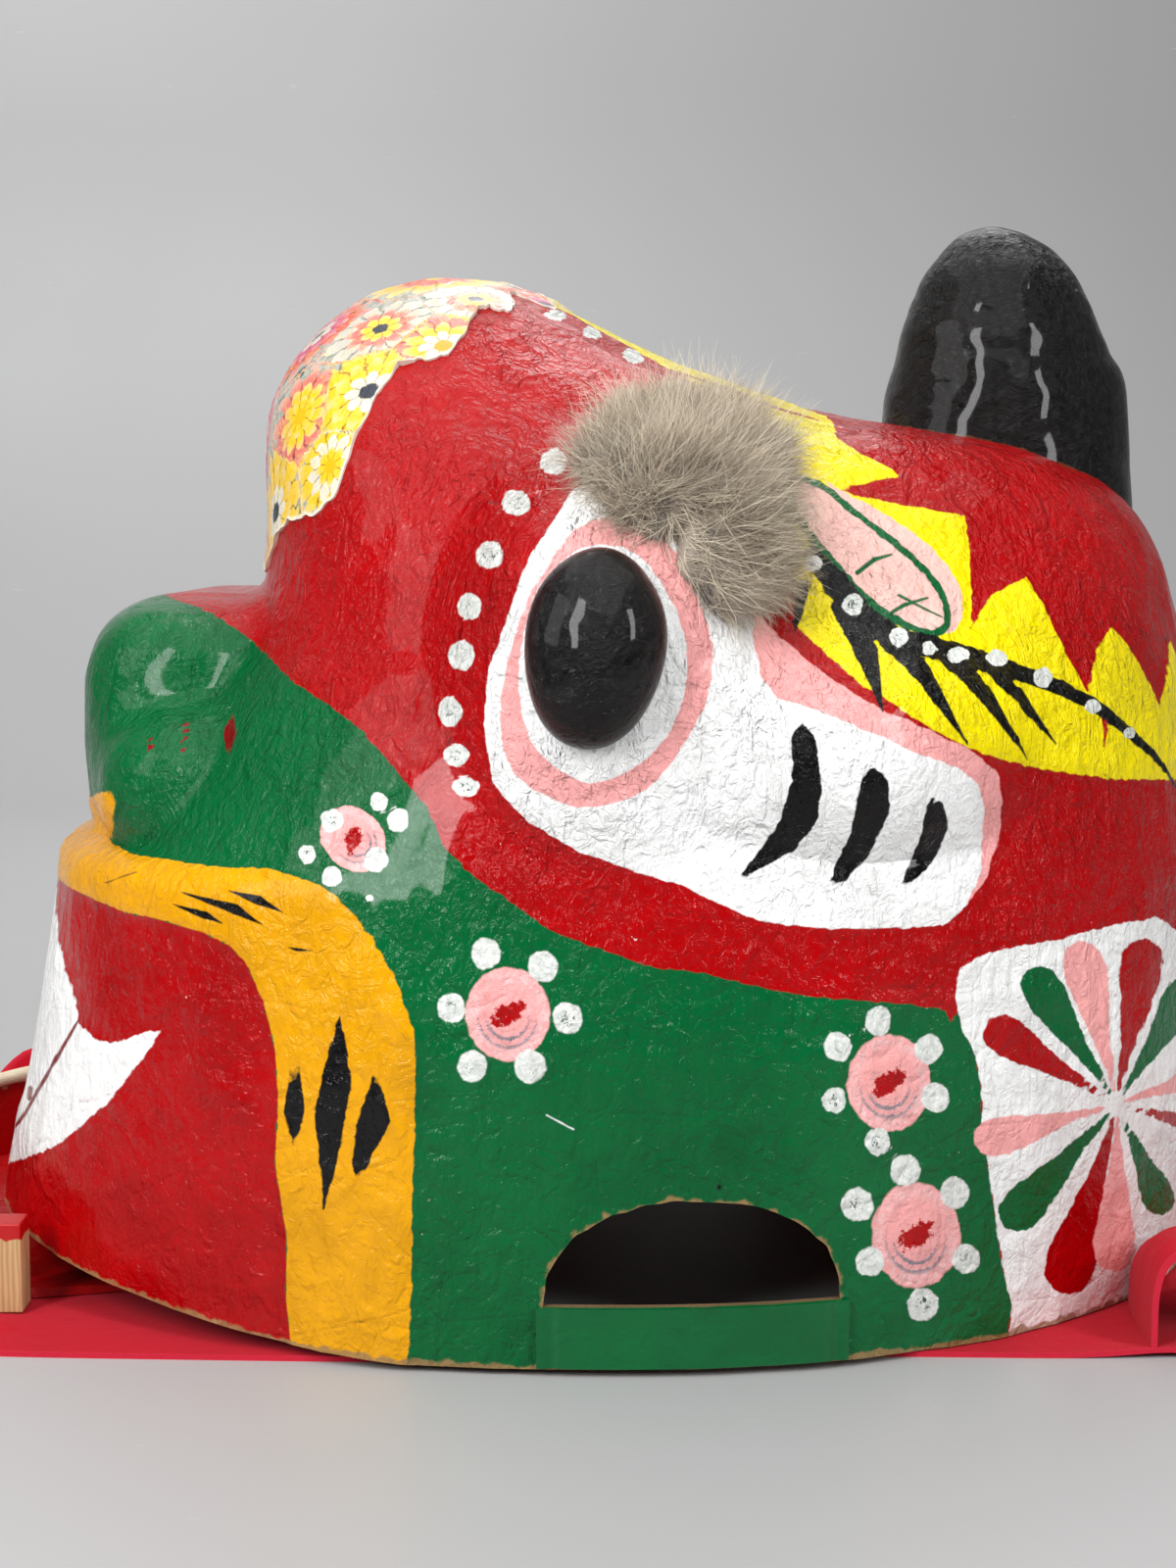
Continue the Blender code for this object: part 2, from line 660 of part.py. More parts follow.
def cloth_edge(angle):
    """Outer edge of the cape in plan: a long rounded sheet with a wandering edge."""
    c, s = np.cos(angle), np.sin(angle)
    half = np.where(s >= 0.0, CLOTH_NEAR_X, -CLOTH_FAR_X)
    scale = (np.abs(c) ** 7.0 + np.abs(s) ** 7.0) ** (-1.0 / 7.0)
    wander = 1.0 - 0.012 * (1.0 - np.cos(5.0 * angle)) - 0.006 * (1.0 - np.cos(9.0 * angle))
    return half * scale * s * wander, -CLOTH_HALF_LENGTH * scale * c * wander


def rim_gauge(x, y):
    """1 on the head's rim in plan, more outside it."""
    reach = np.where(y >= 6.0, 225.0, 246.0)
    return (np.abs(x / 190.0) ** 2.05 + np.abs((y - 6.0) / reach) ** 2.05) ** 0.488


def cloth_lift(x, y):
    """Height of the cape's underside over the floor."""
    from_side = smooth_step((CLOTH_FAR_X + CORNER_X - x) / (0.91 * CORNER_X))
    from_end = smooth_step((CORNER_Y - CLOTH_HALF_LENGTH - y) / (0.64 * CORNER_Y))
    return CORNER_RAISE * from_side * from_end


def build_cloth():
    """Felt cape lying round the rim, open under the head."""
    angles = np.linspace(0.0, TAU, 48, endpoint=False)
    solid = Solid()
    lows, highs = [], []
    out_x, out_y = cloth_edge(angles)
    in_x, in_y = 0.875 * 190.0 * np.sin(angles), -0.875 * 232.0 * np.cos(angles)
    near = np.zeros_like(angles)
    far = np.full_like(angles, 0.55)
    for _ in range(20):
        mid = 0.5 * (near + far)
        within = rim_gauge(in_x + (out_x - in_x) * mid, in_y + (out_y - in_y) * mid) < 1.035
        near, far = np.where(within, mid, near), np.where(within, far, mid)
    fractions = (0.0, 1.0, 1.3, 1.62, 2.0)
    for f in fractions:
        share = near * f if f <= 1.0 else near + (1.0 - near) * (f - 1.0)
        x, y = in_x + (out_x - in_x) * share, in_y + (out_y - in_y) * share
        lift = cloth_lift(x, y)
        lows.append(solid.ring(np.stack([x, y, lift], -1)))
        highs.append(solid.ring(np.stack([x, y, lift + CLOTH], -1)))
    for k in range(len(fractions) - 1):
        solid.bridge(lows[k], lows[k + 1])
        solid.bridge(highs[k], highs[k + 1])
    solid.bridge(lows[0], highs[0])
    solid.bridge(lows[-1], highs[-1])
    solid.build("body_cloth", (0.45, 0.01, 0.05), 0.9)


def rim_x_at(y):
    """Half-width of the head's rim at one distance along the head."""
    low, high = 0.0, 2.0 * CLOTH_NEAR_X
    for _ in range(40):
        middle = 0.5 * (low + high)
        inside = rim_gauge(np.array(middle), np.array(y)) < 1.0
        low, high = (middle, high) if inside else (low, middle)
    return low


def build_pleat():
    """The cape's upright fold at the right rear: a felt arch open towards the side."""
    solid = Solid()
    turn = np.linspace(0.0, math.pi, 13)
    rings = []
    start = rim_x_at(PLEAT_Y - PLEAT_HALF) + PLEAT_FROM_RIM
    end = CLOTH_NEAR_X - PLEAT_FROM_EDGE
    sections = ((0.0, 0.70, 0.893), (0.36, 0.909, 0.964), (0.72, 0.987, 1.0), (1.0, 1.0, 1.0))
    for share, rise, spread in sections:
        x = start + (end - start) * share
        height, half = PLEAT_HEIGHT * rise, PLEAT_HALF * spread
        outer, inner = [], []
        for a in turn:
            c, s = math.cos(a), math.sin(a)
            grow = (abs(c) ** 3.4 + abs(s) ** 3.4) ** (-1.0 / 3.4)
            outer.append((x, PLEAT_Y - half * c * grow, CLOTH + GAP + height * s * grow))
            thin_half, thin_height = half - PLEAT_THICK, height - PLEAT_THICK
            inner.append((x, PLEAT_Y - thin_half * c * grow, CLOTH + GAP + thin_height * s * grow))
        rings.append(solid.ring(outer + inner[::-1]))
    for low, high in zip(rings[:-1], rings[1:]):
        solid.bridge(low, high)
    for ring, flip in ((rings[0], True), (rings[-1], False)):
        count = len(turn)
        for k in range(count - 1):
            quad = (ring[k], ring[k + 1], ring[-2 - k], ring[-1 - k])
            solid.faces.append(quad[::-1] if flip else quad)
    solid.build("cape_pleat", (0.45, 0.01, 0.05), 0.9, "body_cloth")


def clear_scene():
    """Removes what a new file starts with."""
    for obj in list(bpy.data.objects):
        bpy.data.objects.remove(obj)


def main():
    """Builds every piece."""
    clear_scene()
    build_shell()
    build_horn()
    for side, word in ((1.0, "left"), (-1.0, "right")):
        dome_on_skin(
            f"eyeball_{word}", side, eye_outline, eye_height, 20, 5,
            (0.01, 0.01, 0.01), 0.1, "eye_black",
        )
        dome_on_skin(
            f"fur_brow_{word}", side, fur_outline, fur_height, 2 * FUR_LOCKS, 4,
            (0.33, 0.27, 0.21), 0.95, "fur", thick=FUR_BACKING,
        )
        build_sill(f"opening_sill_{word}", side)
    build_decal()
    build_jaw()
    build_cloth()
    build_pleat()


main()
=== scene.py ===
"""Looks of the lion dance head: lacquered papier-mache, rabbit fur, felt and painted card.

The face looks along -Y, +Z is up and the lion's left side is +X. Shapes are worked out in
millimetres and stored in metres. Painted outlines are named in pixels of the 1200 x 1600
picture and reach the surface through PhotoCamera.
"""

import json
import logging
import math
from dataclasses import dataclass, field
from enum import Enum
from typing import Callable, Sequence

import bmesh
import bpy
import numpy as np
from mathutils import Matrix, Vector
from mathutils.bvhtree import BVHTree
from mathutils.kdtree import KDTree

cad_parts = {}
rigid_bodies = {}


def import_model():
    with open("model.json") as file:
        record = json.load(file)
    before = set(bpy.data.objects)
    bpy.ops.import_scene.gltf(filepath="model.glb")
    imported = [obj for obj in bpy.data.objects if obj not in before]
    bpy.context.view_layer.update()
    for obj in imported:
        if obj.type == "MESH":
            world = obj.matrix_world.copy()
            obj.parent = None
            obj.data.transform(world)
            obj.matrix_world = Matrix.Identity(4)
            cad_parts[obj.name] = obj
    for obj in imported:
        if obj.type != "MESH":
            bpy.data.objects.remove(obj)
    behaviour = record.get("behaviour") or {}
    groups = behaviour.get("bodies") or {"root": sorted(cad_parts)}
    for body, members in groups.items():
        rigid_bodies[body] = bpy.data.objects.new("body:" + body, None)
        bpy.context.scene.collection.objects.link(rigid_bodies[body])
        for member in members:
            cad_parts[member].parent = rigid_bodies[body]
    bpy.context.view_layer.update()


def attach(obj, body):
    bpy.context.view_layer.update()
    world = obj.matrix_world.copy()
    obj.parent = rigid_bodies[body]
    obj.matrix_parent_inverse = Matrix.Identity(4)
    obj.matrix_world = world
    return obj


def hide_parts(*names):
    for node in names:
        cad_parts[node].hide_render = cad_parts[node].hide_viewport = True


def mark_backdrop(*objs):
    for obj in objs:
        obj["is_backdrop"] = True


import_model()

log = logging.getLogger("lion_head")

MM = 0.001
TAU = 2.0 * math.pi

Pixel = tuple[float, float]
Triple = tuple[float, float, float]
Colour = Triple
Array = np.ndarray
Finish = bpy.types.Material
Mesh = bpy.types.Mesh
Node = bpy.types.Node
Piece = bpy.types.Object
Socket = bpy.types.NodeSocket


class Side(Enum):
    """The lion's left or right."""

    LEFT = 1.0
    RIGHT = -1.0

    @property
    def word(self) -> str:
        """The side's name as the nodes carry it."""
        return self.name.lower()

    @property
    def mirror(self) -> Array:
        """What takes a point of the lion's left to this side."""
        return np.array([self.value, 1.0, 1.0])


def smooth_step(value: Array | float) -> Array:
    """Smooth ramp from 0 to 1."""
    value = np.clip(value, 0.0, 1.0)
    return value * value * (3.0 - 2.0 * value)


def linear(red: int, green: int, blue: int) -> Colour:
    """Linear colour of an 8-bit display colour."""
    return tuple(
        c / 12.92 if c <= 0.04045 else ((c + 0.055) / 1.055) ** 2.4
        for c in (red / 255.0, green / 255.0, blue / 255.0)
    )


class Lattice:
    """Smooth random values in space, the same on each run."""

    def __init__(self, seed: int) -> None:
        """Draws the table of corner values.

        Args:
            seed: Number that fixes the values.
        """
        self.table = np.random.default_rng(seed).uniform(-1.0, 1.0, (32, 32, 32))

    def at(self, points: Array, size: float) -> Array:
        """Values from -1 to 1 at points.

        Args:
            points: Points as rows.
            size: Distance between two corner values, in the points' unit.

        Returns:
            One value for each point.
        """
        scaled = np.asarray(points, float) / size
        low = np.floor(scaled).astype(int)
        part = scaled - low
        part = part * part * (3.0 - 2.0 * part)
        total = np.zeros(len(scaled))
        for corner in range(8):
            step = np.array([corner & 1, (corner >> 1) & 1, (corner >> 2) & 1])
            share = np.prod(np.where(step == 1, part, 1.0 - part), axis=1)
            cell = (low + step) % 32
            total += share * self.table[cell[:, 0], cell[:, 1], cell[:, 2]]
        return total


@dataclass(frozen=True)
class PhotoCamera:
    """The picture's camera, and the way from a point in space to the picture's pixel."""

    distance: float = 1.0
    height: float = 0.29
    along: float = -0.006
    pitch: float = math.radians(6.6)
    focal_px: float = 2600.0
    centre_px: Pixel = (600.0, 800.0)

    def project(self, points: Array) -> tuple[Array, Array, Array]:
        """Pixel and depth of points on the lion's left, in millimetres.

        Args:
            points: Points as rows, x, y and z in millimetres.

        Returns:
            Pixels across, pixels down and the depth in millimetres.
        """
        offset = np.asarray(points, float) - self.eye()
        forward = np.array([-math.cos(self.pitch), 0.0, -math.sin(self.pitch)])
        upward = np.array([-math.sin(self.pitch), 0.0, math.cos(self.pitch)])
        depth = offset @ forward
        across = self.centre_px[0] + self.focal_px * offset[..., 1] / depth
        down = self.centre_px[1] - self.focal_px * (offset @ upward) / depth
        return across, down, depth

    def eye(self) -> Array:
        """The camera's place in millimetres."""
        return np.array([self.distance, self.along, self.height]) * 1000.0

    def make(self) -> Piece:
        """Adds the camera to the scene.

        Returns:
            The camera object.
        """
        data = bpy.data.cameras.new("photo_camera")
        data.lens = 36.0 * self.focal_px / 1600.0
        data.sensor_width = 36.0
        data.clip_start = 0.05
        data.clip_end = 30.0
        camera = bpy.data.objects.new("photo_camera", data)
        camera.location = (self.distance, self.along, self.height)
        look = Vector((-math.cos(self.pitch), 0.0, -math.sin(self.pitch)))
        camera.rotation_mode = "QUATERNION"
        camera.rotation_quaternion = look.to_track_quat("-Z", "Y")
        bpy.context.scene.collection.objects.link(camera)
        bpy.context.scene.camera = camera
        return camera


def to_segment(points: Array, start: Array, end: Array) -> tuple[Array, Array]:
    """Where points come nearest to a straight run.

    Args:
        points: Points as rows of two.
        start: The run's start.
        end: Its end.

    Returns:
        The share of the run at which they do, and the distance.
    """
    run, rel = end - start, points - start
    share = np.clip(rel @ run / max(run @ run, 1e-9), 0.0, 1.0)
    return share, np.linalg.norm(rel - share[:, None] * run, axis=1)


def to_polygon(points: Array, corners: Sequence[Pixel]) -> Array:
    """Distance from points to a closed outline, positive inside.

    Args:
        points: Points as rows of two.
        corners: The outline's corners in order.

    Returns:
        One distance for each point.
    """
    ring = np.array(corners, float)
    best = np.full(len(points), 1e6)
    inside = np.zeros(len(points), bool)
    for start, end in zip(ring, np.roll(ring, -1, axis=0)):
        best = np.minimum(best, to_segment(points, start, end)[1])
        rises = (start[1] > points[:, 1]) != (end[1] > points[:, 1])
        slope = (end[0] - start[0]) / (end[1] - start[1]) if end[1] != start[1] else 0.0
        inside ^= rises & (points[:, 0] < start[0] + slope * (points[:, 1] - start[1]))
    return np.where(inside, best, -best)


def to_stroke(points: Array, spine: Sequence[Triple]) -> Array:
    """How far points are inside a brush stroke, positive inside.

    Args:
        points: Points as rows of two.
        spine: Corners of the stroke's middle line, each with its half-width.

    Returns:
        One distance for each point.
    """
    best = np.full(len(points), -1e6)
    for start, end in zip(spine[:-1], spine[1:]):
        share, gap = to_segment(points, np.array(start[:2]), np.array(end[:2]))
        best = np.maximum(best, start[2] + (end[2] - start[2]) * share - gap)
    return best


def rounded(corners: Sequence[Pixel], passes: int = 2) -> list[Pixel]:
    """A closed outline with its corners cut round.

    Args:
        corners: The outline's corners in order.
        passes: How many times each corner is cut.

    Returns:
        The new corners.
    """
    ring = np.array(corners, float)
    for _ in range(passes):
        after = np.roll(ring, -1, axis=0)
        ring = np.stack([0.75 * ring + 0.25 * after, 0.25 * ring + 0.75 * after], 1).reshape(-1, 2)
    return [tuple(p) for p in ring]


def nearest(points: Array, wanted: Array) -> list[int]:
    """Numbers of the points nearest to others.

    Args:
        points: Points as rows of two or three.
        wanted: Rows of the same length.

    Returns:
        One number for each wanted point.
    """
    points, wanted = (np.pad(rows, ((0, 0), (0, 3 - rows.shape[1]))) for rows in (points, wanted))
    tree = KDTree(len(points))
    for number, point in enumerate(points):
        tree.insert(point, number)
    tree.balance()
    return [tree.find(point)[1] for point in wanted]


@dataclass(frozen=True)
class HeadForm:
    """The head's outer surface, as the CAD model has it, in millimetres."""

    wall: float = 3.0
    gap: float = 0.3
    rim_z: float = 2.4
    lip_lift: float = 19.0
    lip_blend: float = 62.0
    core: Triple = (0.0, -20.0, 120.0)
    ledge_depth: float = 15.0
    ledge_z: float = 153.0
    # Rim to crown: height, front y, back y, widest y, half-width, roundness front and back.
    levels: tuple[tuple[float, ...], ...] = (
        (2.4, -234.5, 231.0, 6.0, 190.0, 2.25, 2.05),
        (40.0, -229.0, 233.0, 8.0, 192.5, 2.25, 2.05),
        (90.0, -219.0, 233.0, 10.0, 193.0, 2.25, 2.10),
        (133.0, -212.0, 232.0, 10.0, 190.0, 2.25, 2.10),
        (155.0, -208.0, 231.0, 10.0, 187.0, 2.25, 2.10),
        (168.0, -203.0, 230.0, 10.0, 184.5, 2.20, 2.10),
        (205.0, -167.0, 227.0, 10.0, 174.0, 2.20, 2.10),
        (240.0, -135.0, 221.0, 6.0, 159.0, 2.20, 2.15),
        (265.0, -129.0, 213.0, -4.0, 143.0, 2.30, 2.20),
        (286.0, -128.0, 200.0, -16.0, 129.0, 2.40, 2.20),
        (304.0, -128.0, 172.0, -30.0, 115.0, 2.40, 2.10),
        (317.5, -127.0, 92.0, -40.0, 101.0, 2.40, 1.95),
        (336.5, -119.0, 30.0, -48.0, 81.0, 2.30, 1.95),
        (353.5, -104.0, -6.0, -52.0, 58.0, 2.10, 2.00),
        (363.5, -88.0, -28.0, -55.0, 37.0, 2.00, 2.00),
        (368.0, -71.0, -42.0, -56.0, 18.0, 2.00, 2.00),
        (369.0, -56.0, -56.0, -56.0, 0.0, 2.00, 2.00),
    )
    # Nose, nostrils, eyes and cheeks: centre, radii, boxiness, blend.
    swellings: tuple[tuple, ...] = (
        ((0.0, -139.0, 199.0), (76.0, 58.0, 52.0), 3.6, 10.0),
        ((66.0, -148.0, 184.0), (40.0, 37.0, 29.0), 2.2, 16.0),
        ((-66.0, -148.0, 184.0), (40.0, 37.0, 29.0), 2.2, 16.0),
        ((112.0, 2.0, 222.0), (79.0, 60.0, 80.0), 2.2, 22.0),
        ((-112.0, 2.0, 222.0), (79.0, 60.0, 80.0), 2.2, 22.0),
        ((112.0, 66.0, 200.0), (74.0, 72.0, 44.0), 2.2, 26.0),
        ((-112.0, 66.0, 200.0), (74.0, 72.0, 44.0), 2.2, 26.0),
    )

    @property
    def crown(self) -> int:
        """The last row's number."""
        return len(self.levels) - 1

    def level_at(self, t: Array) -> Array:
        """Level section between two rows.

        Args:
            t: Row positions, 0 at the rim.

        Returns:
            The sections' seven values, last axis.
        """
        values = np.array(self.levels, float)
        step = np.diff(values, axis=0)
        slopes = np.zeros_like(values)
        total = step[:-1] + step[1:]
        product = step[:-1] * step[1:]
        safe = np.where(np.abs(total) < 1e-9, 1.0, total)
        slopes[1:-1] = np.where(product > 0.0, 2.0 * product / safe, 0.0)
        slopes[0], slopes[-1] = step[0], step[-1]
        t = np.clip(np.asarray(t, float), 0.0, self.crown)
        low = np.minimum(t.astype(int), self.crown - 1)
        u = (t - low)[..., None]
        u2, u3 = u * u, u * u * u
        return (
            (2.0 * u3 - 3.0 * u2 + 1.0) * values[low]
            + (u3 - 2.0 * u2 + u) * slopes[low]
            + (3.0 * u2 - 2.0 * u3) * values[low + 1]
            + (u3 - u2) * slopes[low + 1]
        )

    @staticmethod
    def swelling_reach(
        core: Array, ray: Array, centre: tuple, radii: tuple, boxiness: float
    ) -> Array:
        """Distance along rays at which they leave a swelling.

        Args:
            core: The rays' starts.
            ray: The rays' unit directions.
            centre: The swelling's middle.
            radii: The swelling's radii.
            boxiness: Its power, 2 for an ellipsoid.

        Returns:
            The distances, 0 where a ray misses.
        """
        middle_point, half = np.array(centre), np.array(radii)
        near = np.clip(np.sum((middle_point - core) * ray, axis=-1), 1.0, None)

        def gauge(distance: Array) -> Array:
            """Below 1 inside the swelling."""
            local = np.abs((core + ray * distance[..., None] - middle_point) / half)
            return np.sum(local**boxiness, axis=-1)

        inside = gauge(near) < 1.0
        low, high = near.copy(), near + 2.0 * half.max()
        for _ in range(22):
            middle = 0.5 * (low + high)
            within = gauge(middle) < 1.0
            low = np.where(within, middle, low)
            high = np.where(within, high, middle)
        return np.where(inside, low, 0.0)

    def skin(self, around: Array, t: Array) -> Array:
        """Points of the outer surface.

        Args:
            around: Angles from the front, in radians.
            t: Row positions, 0 at the rim.

        Returns:
            Points in millimetres, last axis.
        """
        around, t = np.broadcast_arrays(np.asarray(around, float), np.asarray(t, float))
        z, front, back, wide, half, round_f, round_b = np.moveaxis(self.level_at(t), -1, 0)
        c, s = np.cos(around), np.sin(around)
        power = np.where(c >= 0.0, round_f, round_b)
        reach = np.where(c >= 0.0, wide - front, back - wide)
        scale = (np.abs(c) ** power + np.abs(s) ** power) ** (-1.0 / power)
        lift = self.lip_lift * smooth_step((c - 0.25) / 0.75)
        lift = lift * np.clip(1.0 - (z - self.rim_z) / self.lip_blend, 0.0, 1.0)
        over = z - self.ledge_z
        ledge = smooth_step(over / 14.0) * (1.0 - smooth_step((over - 20.0) / 65.0))
        inset = self.ledge_depth * ledge * smooth_step((c - 0.36) / 0.40)
        x = half * scale * s
        y = wide - reach * scale * c + inset * c
        points = np.stack([x, y, z + lift], axis=-1)
        start = np.stack(
            [np.full_like(z, self.core[0]), np.full_like(z, self.core[1]), np.minimum(z, self.core[2])],
            axis=-1,
        )
        ray = points - start
        length = np.linalg.norm(ray, axis=-1)
        ray = ray / np.maximum(length, 1e-6)[..., None]
        for centre, radii, boxiness, blend in self.swellings:
            out = self.swelling_reach(start, ray, centre, radii, boxiness)
            mix = np.clip(0.5 + 0.5 * (out - length) / blend, 0.0, 1.0)
            length = length + (out - length) * mix + blend * mix * (1.0 - mix)
        return start + ray * length[..., None]

    def normal(self, around: Array, t: Array) -> Array:
        """Outward unit normals of the outer surface.

        Args:
            around: Angles from the front, in radians.
            t: Row positions.

        Returns:
            Unit vectors, last axis.
        """
        t = np.clip(np.asarray(t, float), 0.02, self.crown - 0.15)
        along = self.skin(around + 0.004, t) - self.skin(around - 0.004, t)
        upward = self.skin(around, t + 0.02) - self.skin(around, t - 0.02)
        out = np.cross(along, upward)
        return out / np.linalg.norm(out, axis=-1)[..., None]

    def find(self, targets: Array, axes: tuple[int, int]) -> tuple[Array, Array]:
        """Surface positions whose two chosen coordinates are the targets.

        Args:
            targets: Rows of two coordinates, on the lion's left.
            axes: Which two coordinates they are.

        Returns:
            Angles and row positions.
        """
        around, t = np.meshgrid(
            np.linspace(0.02, math.pi - 0.02, 121), np.linspace(0.05, self.crown - 0.1, 129)
        )
        around, t = around.ravel(), t.ravel()
        sample = self.skin(around, t)[:, axes]
        targets = np.asarray(targets, float)
        pick = nearest(sample, targets)
        around, t = around[pick], t[pick]
        for _ in range(10):
            here = self.skin(around, t)[:, axes]
            by_a = (self.skin(around + 1e-3, t)[:, axes] - here) / 1e-3
            by_t = (self.skin(around, t + 1e-3)[:, axes] - here) / 1e-3
            error = targets - here
            det = by_a[:, 0] * by_t[:, 1] - by_a[:, 1] * by_t[:, 0]
            det = np.where(np.abs(det) < 1e-3, 1e-3, det)
            move_a = (error[:, 0] * by_t[:, 1] - error[:, 1] * by_t[:, 0]) / det
            move_t = (by_a[:, 0] * error[:, 1] - by_a[:, 1] * error[:, 0]) / det
            around = around + np.clip(move_a, -0.05, 0.05)
            t = np.clip(t + np.clip(move_t, -0.3, 0.3), 0.02, self.crown - 0.1)
        return around, t


def math_node(operation: str, meaning: str, swapped: bool = False) -> "Callable[..., Value]":
    """A method that adds a Math node.

    Args:
        operation: What the node works out.
        meaning: The method's docstring.
        swapped: Whether the other number comes first.

    Returns:
        The method.
    """

    def method(self: "Value", *others: "Value | float") -> "Value":
        """The node's result."""
        numbers = (*others, self) if swapped else (self, *others)
        return self.graph.number("ShaderNodeMath", {"operation": operation}, dict(enumerate(numbers)))

    method.__doc__ = meaning
    return method


class Value:
    """A number in a finish's node tree, with the usual arithmetic."""

    __add__ = __radd__ = math_node("ADD", "Sum.")
    __sub__ = math_node("SUBTRACT", "Difference.")
    __rsub__ = math_node("SUBTRACT", "Difference from a plain number.", swapped=True)
    __mul__ = __rmul__ = math_node("MULTIPLY", "Product.")
    __truediv__ = math_node("DIVIDE", "Quotient.")
    least = math_node("MINIMUM", "The smaller of two.")
    most = math_node("MAXIMUM", "The larger of two.")
    size = math_node("ABSOLUTE", "The number without its sign.")
    cosine = math_node("COSINE", "Cosine.")
    sine = math_node("SINE", "Sine.")
    root = math_node("SQRT", "Square root.")
    wrapped = math_node("FRACT", "The part after the decimal point.")

    def __init__(self, graph: "Graph", socket: Socket) -> None:
        """Keeps the tree and the socket that gives the number."""
        self.graph = graph
        self.socket = socket

    def edge(self, soft: float, start: float = 0.0) -> "Value":
        """Ramp from 0 to 1 about a start.

        Args:
            soft: Width of the ramp.
            start: Middle of the ramp.

        Returns:
            A number from 0 to 1.
        """
        return self.ramp(start - 0.5 * soft, start + 0.5 * soft)

    def ramp(self, low: float, high: float, start: float = 0.0, end: float = 1.0) -> "Value":
        """Clamped linear map.

        Args:
            low: Input at the start.
            high: Input at the end.
            start: Output at low.
            end: Output at high.

        Returns:
            The mapped number.
        """
        return self.graph.number(
            "ShaderNodeMapRange", {"clamp": True}, {0: self, 1: low, 2: high, 3: start, 4: end}
        )


class Tree:
    """Adds nodes to a node tree."""

    def __init__(self, tree: bpy.types.NodeTree) -> None:
        """Keeps the tree."""
        self.tree = tree

    def node(self, kind: str, settings: dict | None = None, inputs: dict | None = None) -> Node:
        """Adds a node.

        Args:
            kind: The node's type.
            settings: Its properties, or the stops of a ramp.
            inputs: Values or links of its sockets, by name or number.

        Returns:
            The node.
        """
        made = self.tree.nodes.new(kind)
        for key, value in (settings or {}).items():
            if key == "stops":
                self._set_stops(made.color_ramp, value)
            else:
                setattr(made, key, value)
        for key, value in (inputs or {}).items():
            socket = made.inputs[key]
            value = value.socket if isinstance(value, Value) else value
            if isinstance(value, Socket):
                self.tree.links.new(value, socket)
            elif socket.type == "RGBA" and len(value) == 3:
                socket.default_value = (*value, 1.0)
            else:
                socket.default_value = value
        return made

    @staticmethod
    def _set_stops(ramp: bpy.types.ColorRamp, stops: Sequence[tuple[float, Colour]]) -> None:
        """Gives a colour ramp its stops."""
        while len(ramp.elements) > 1:
            ramp.elements.remove(ramp.elements[-1])
        ramp.elements[0].position = stops[0][0]
        ramp.elements[0].color = (*stops[0][1], 1.0)
        for place, colour in stops[1:]:
            ramp.elements.new(place).color = (*colour, 1.0)

    def vector_math(
        self, operation: str, first: object, second: object = None,
        scale: object = None, out: str | int = 0,
    ) -> Socket:
        """Arithmetic on vectors.

        Args:
            operation: What the node works out.
            first: The first vector.
            second: The second vector, where there is one.
            scale: The factor, where there is one.
            out: Which output.

        Returns:
            The output's socket.
        """
        inputs = {0: first, 1: second, "Scale": scale}
        inputs = {key: value for key, value in inputs.items() if value is not None}
        return self.node("ShaderNodeVectorMath", {"operation": operation}, inputs).outputs[out]


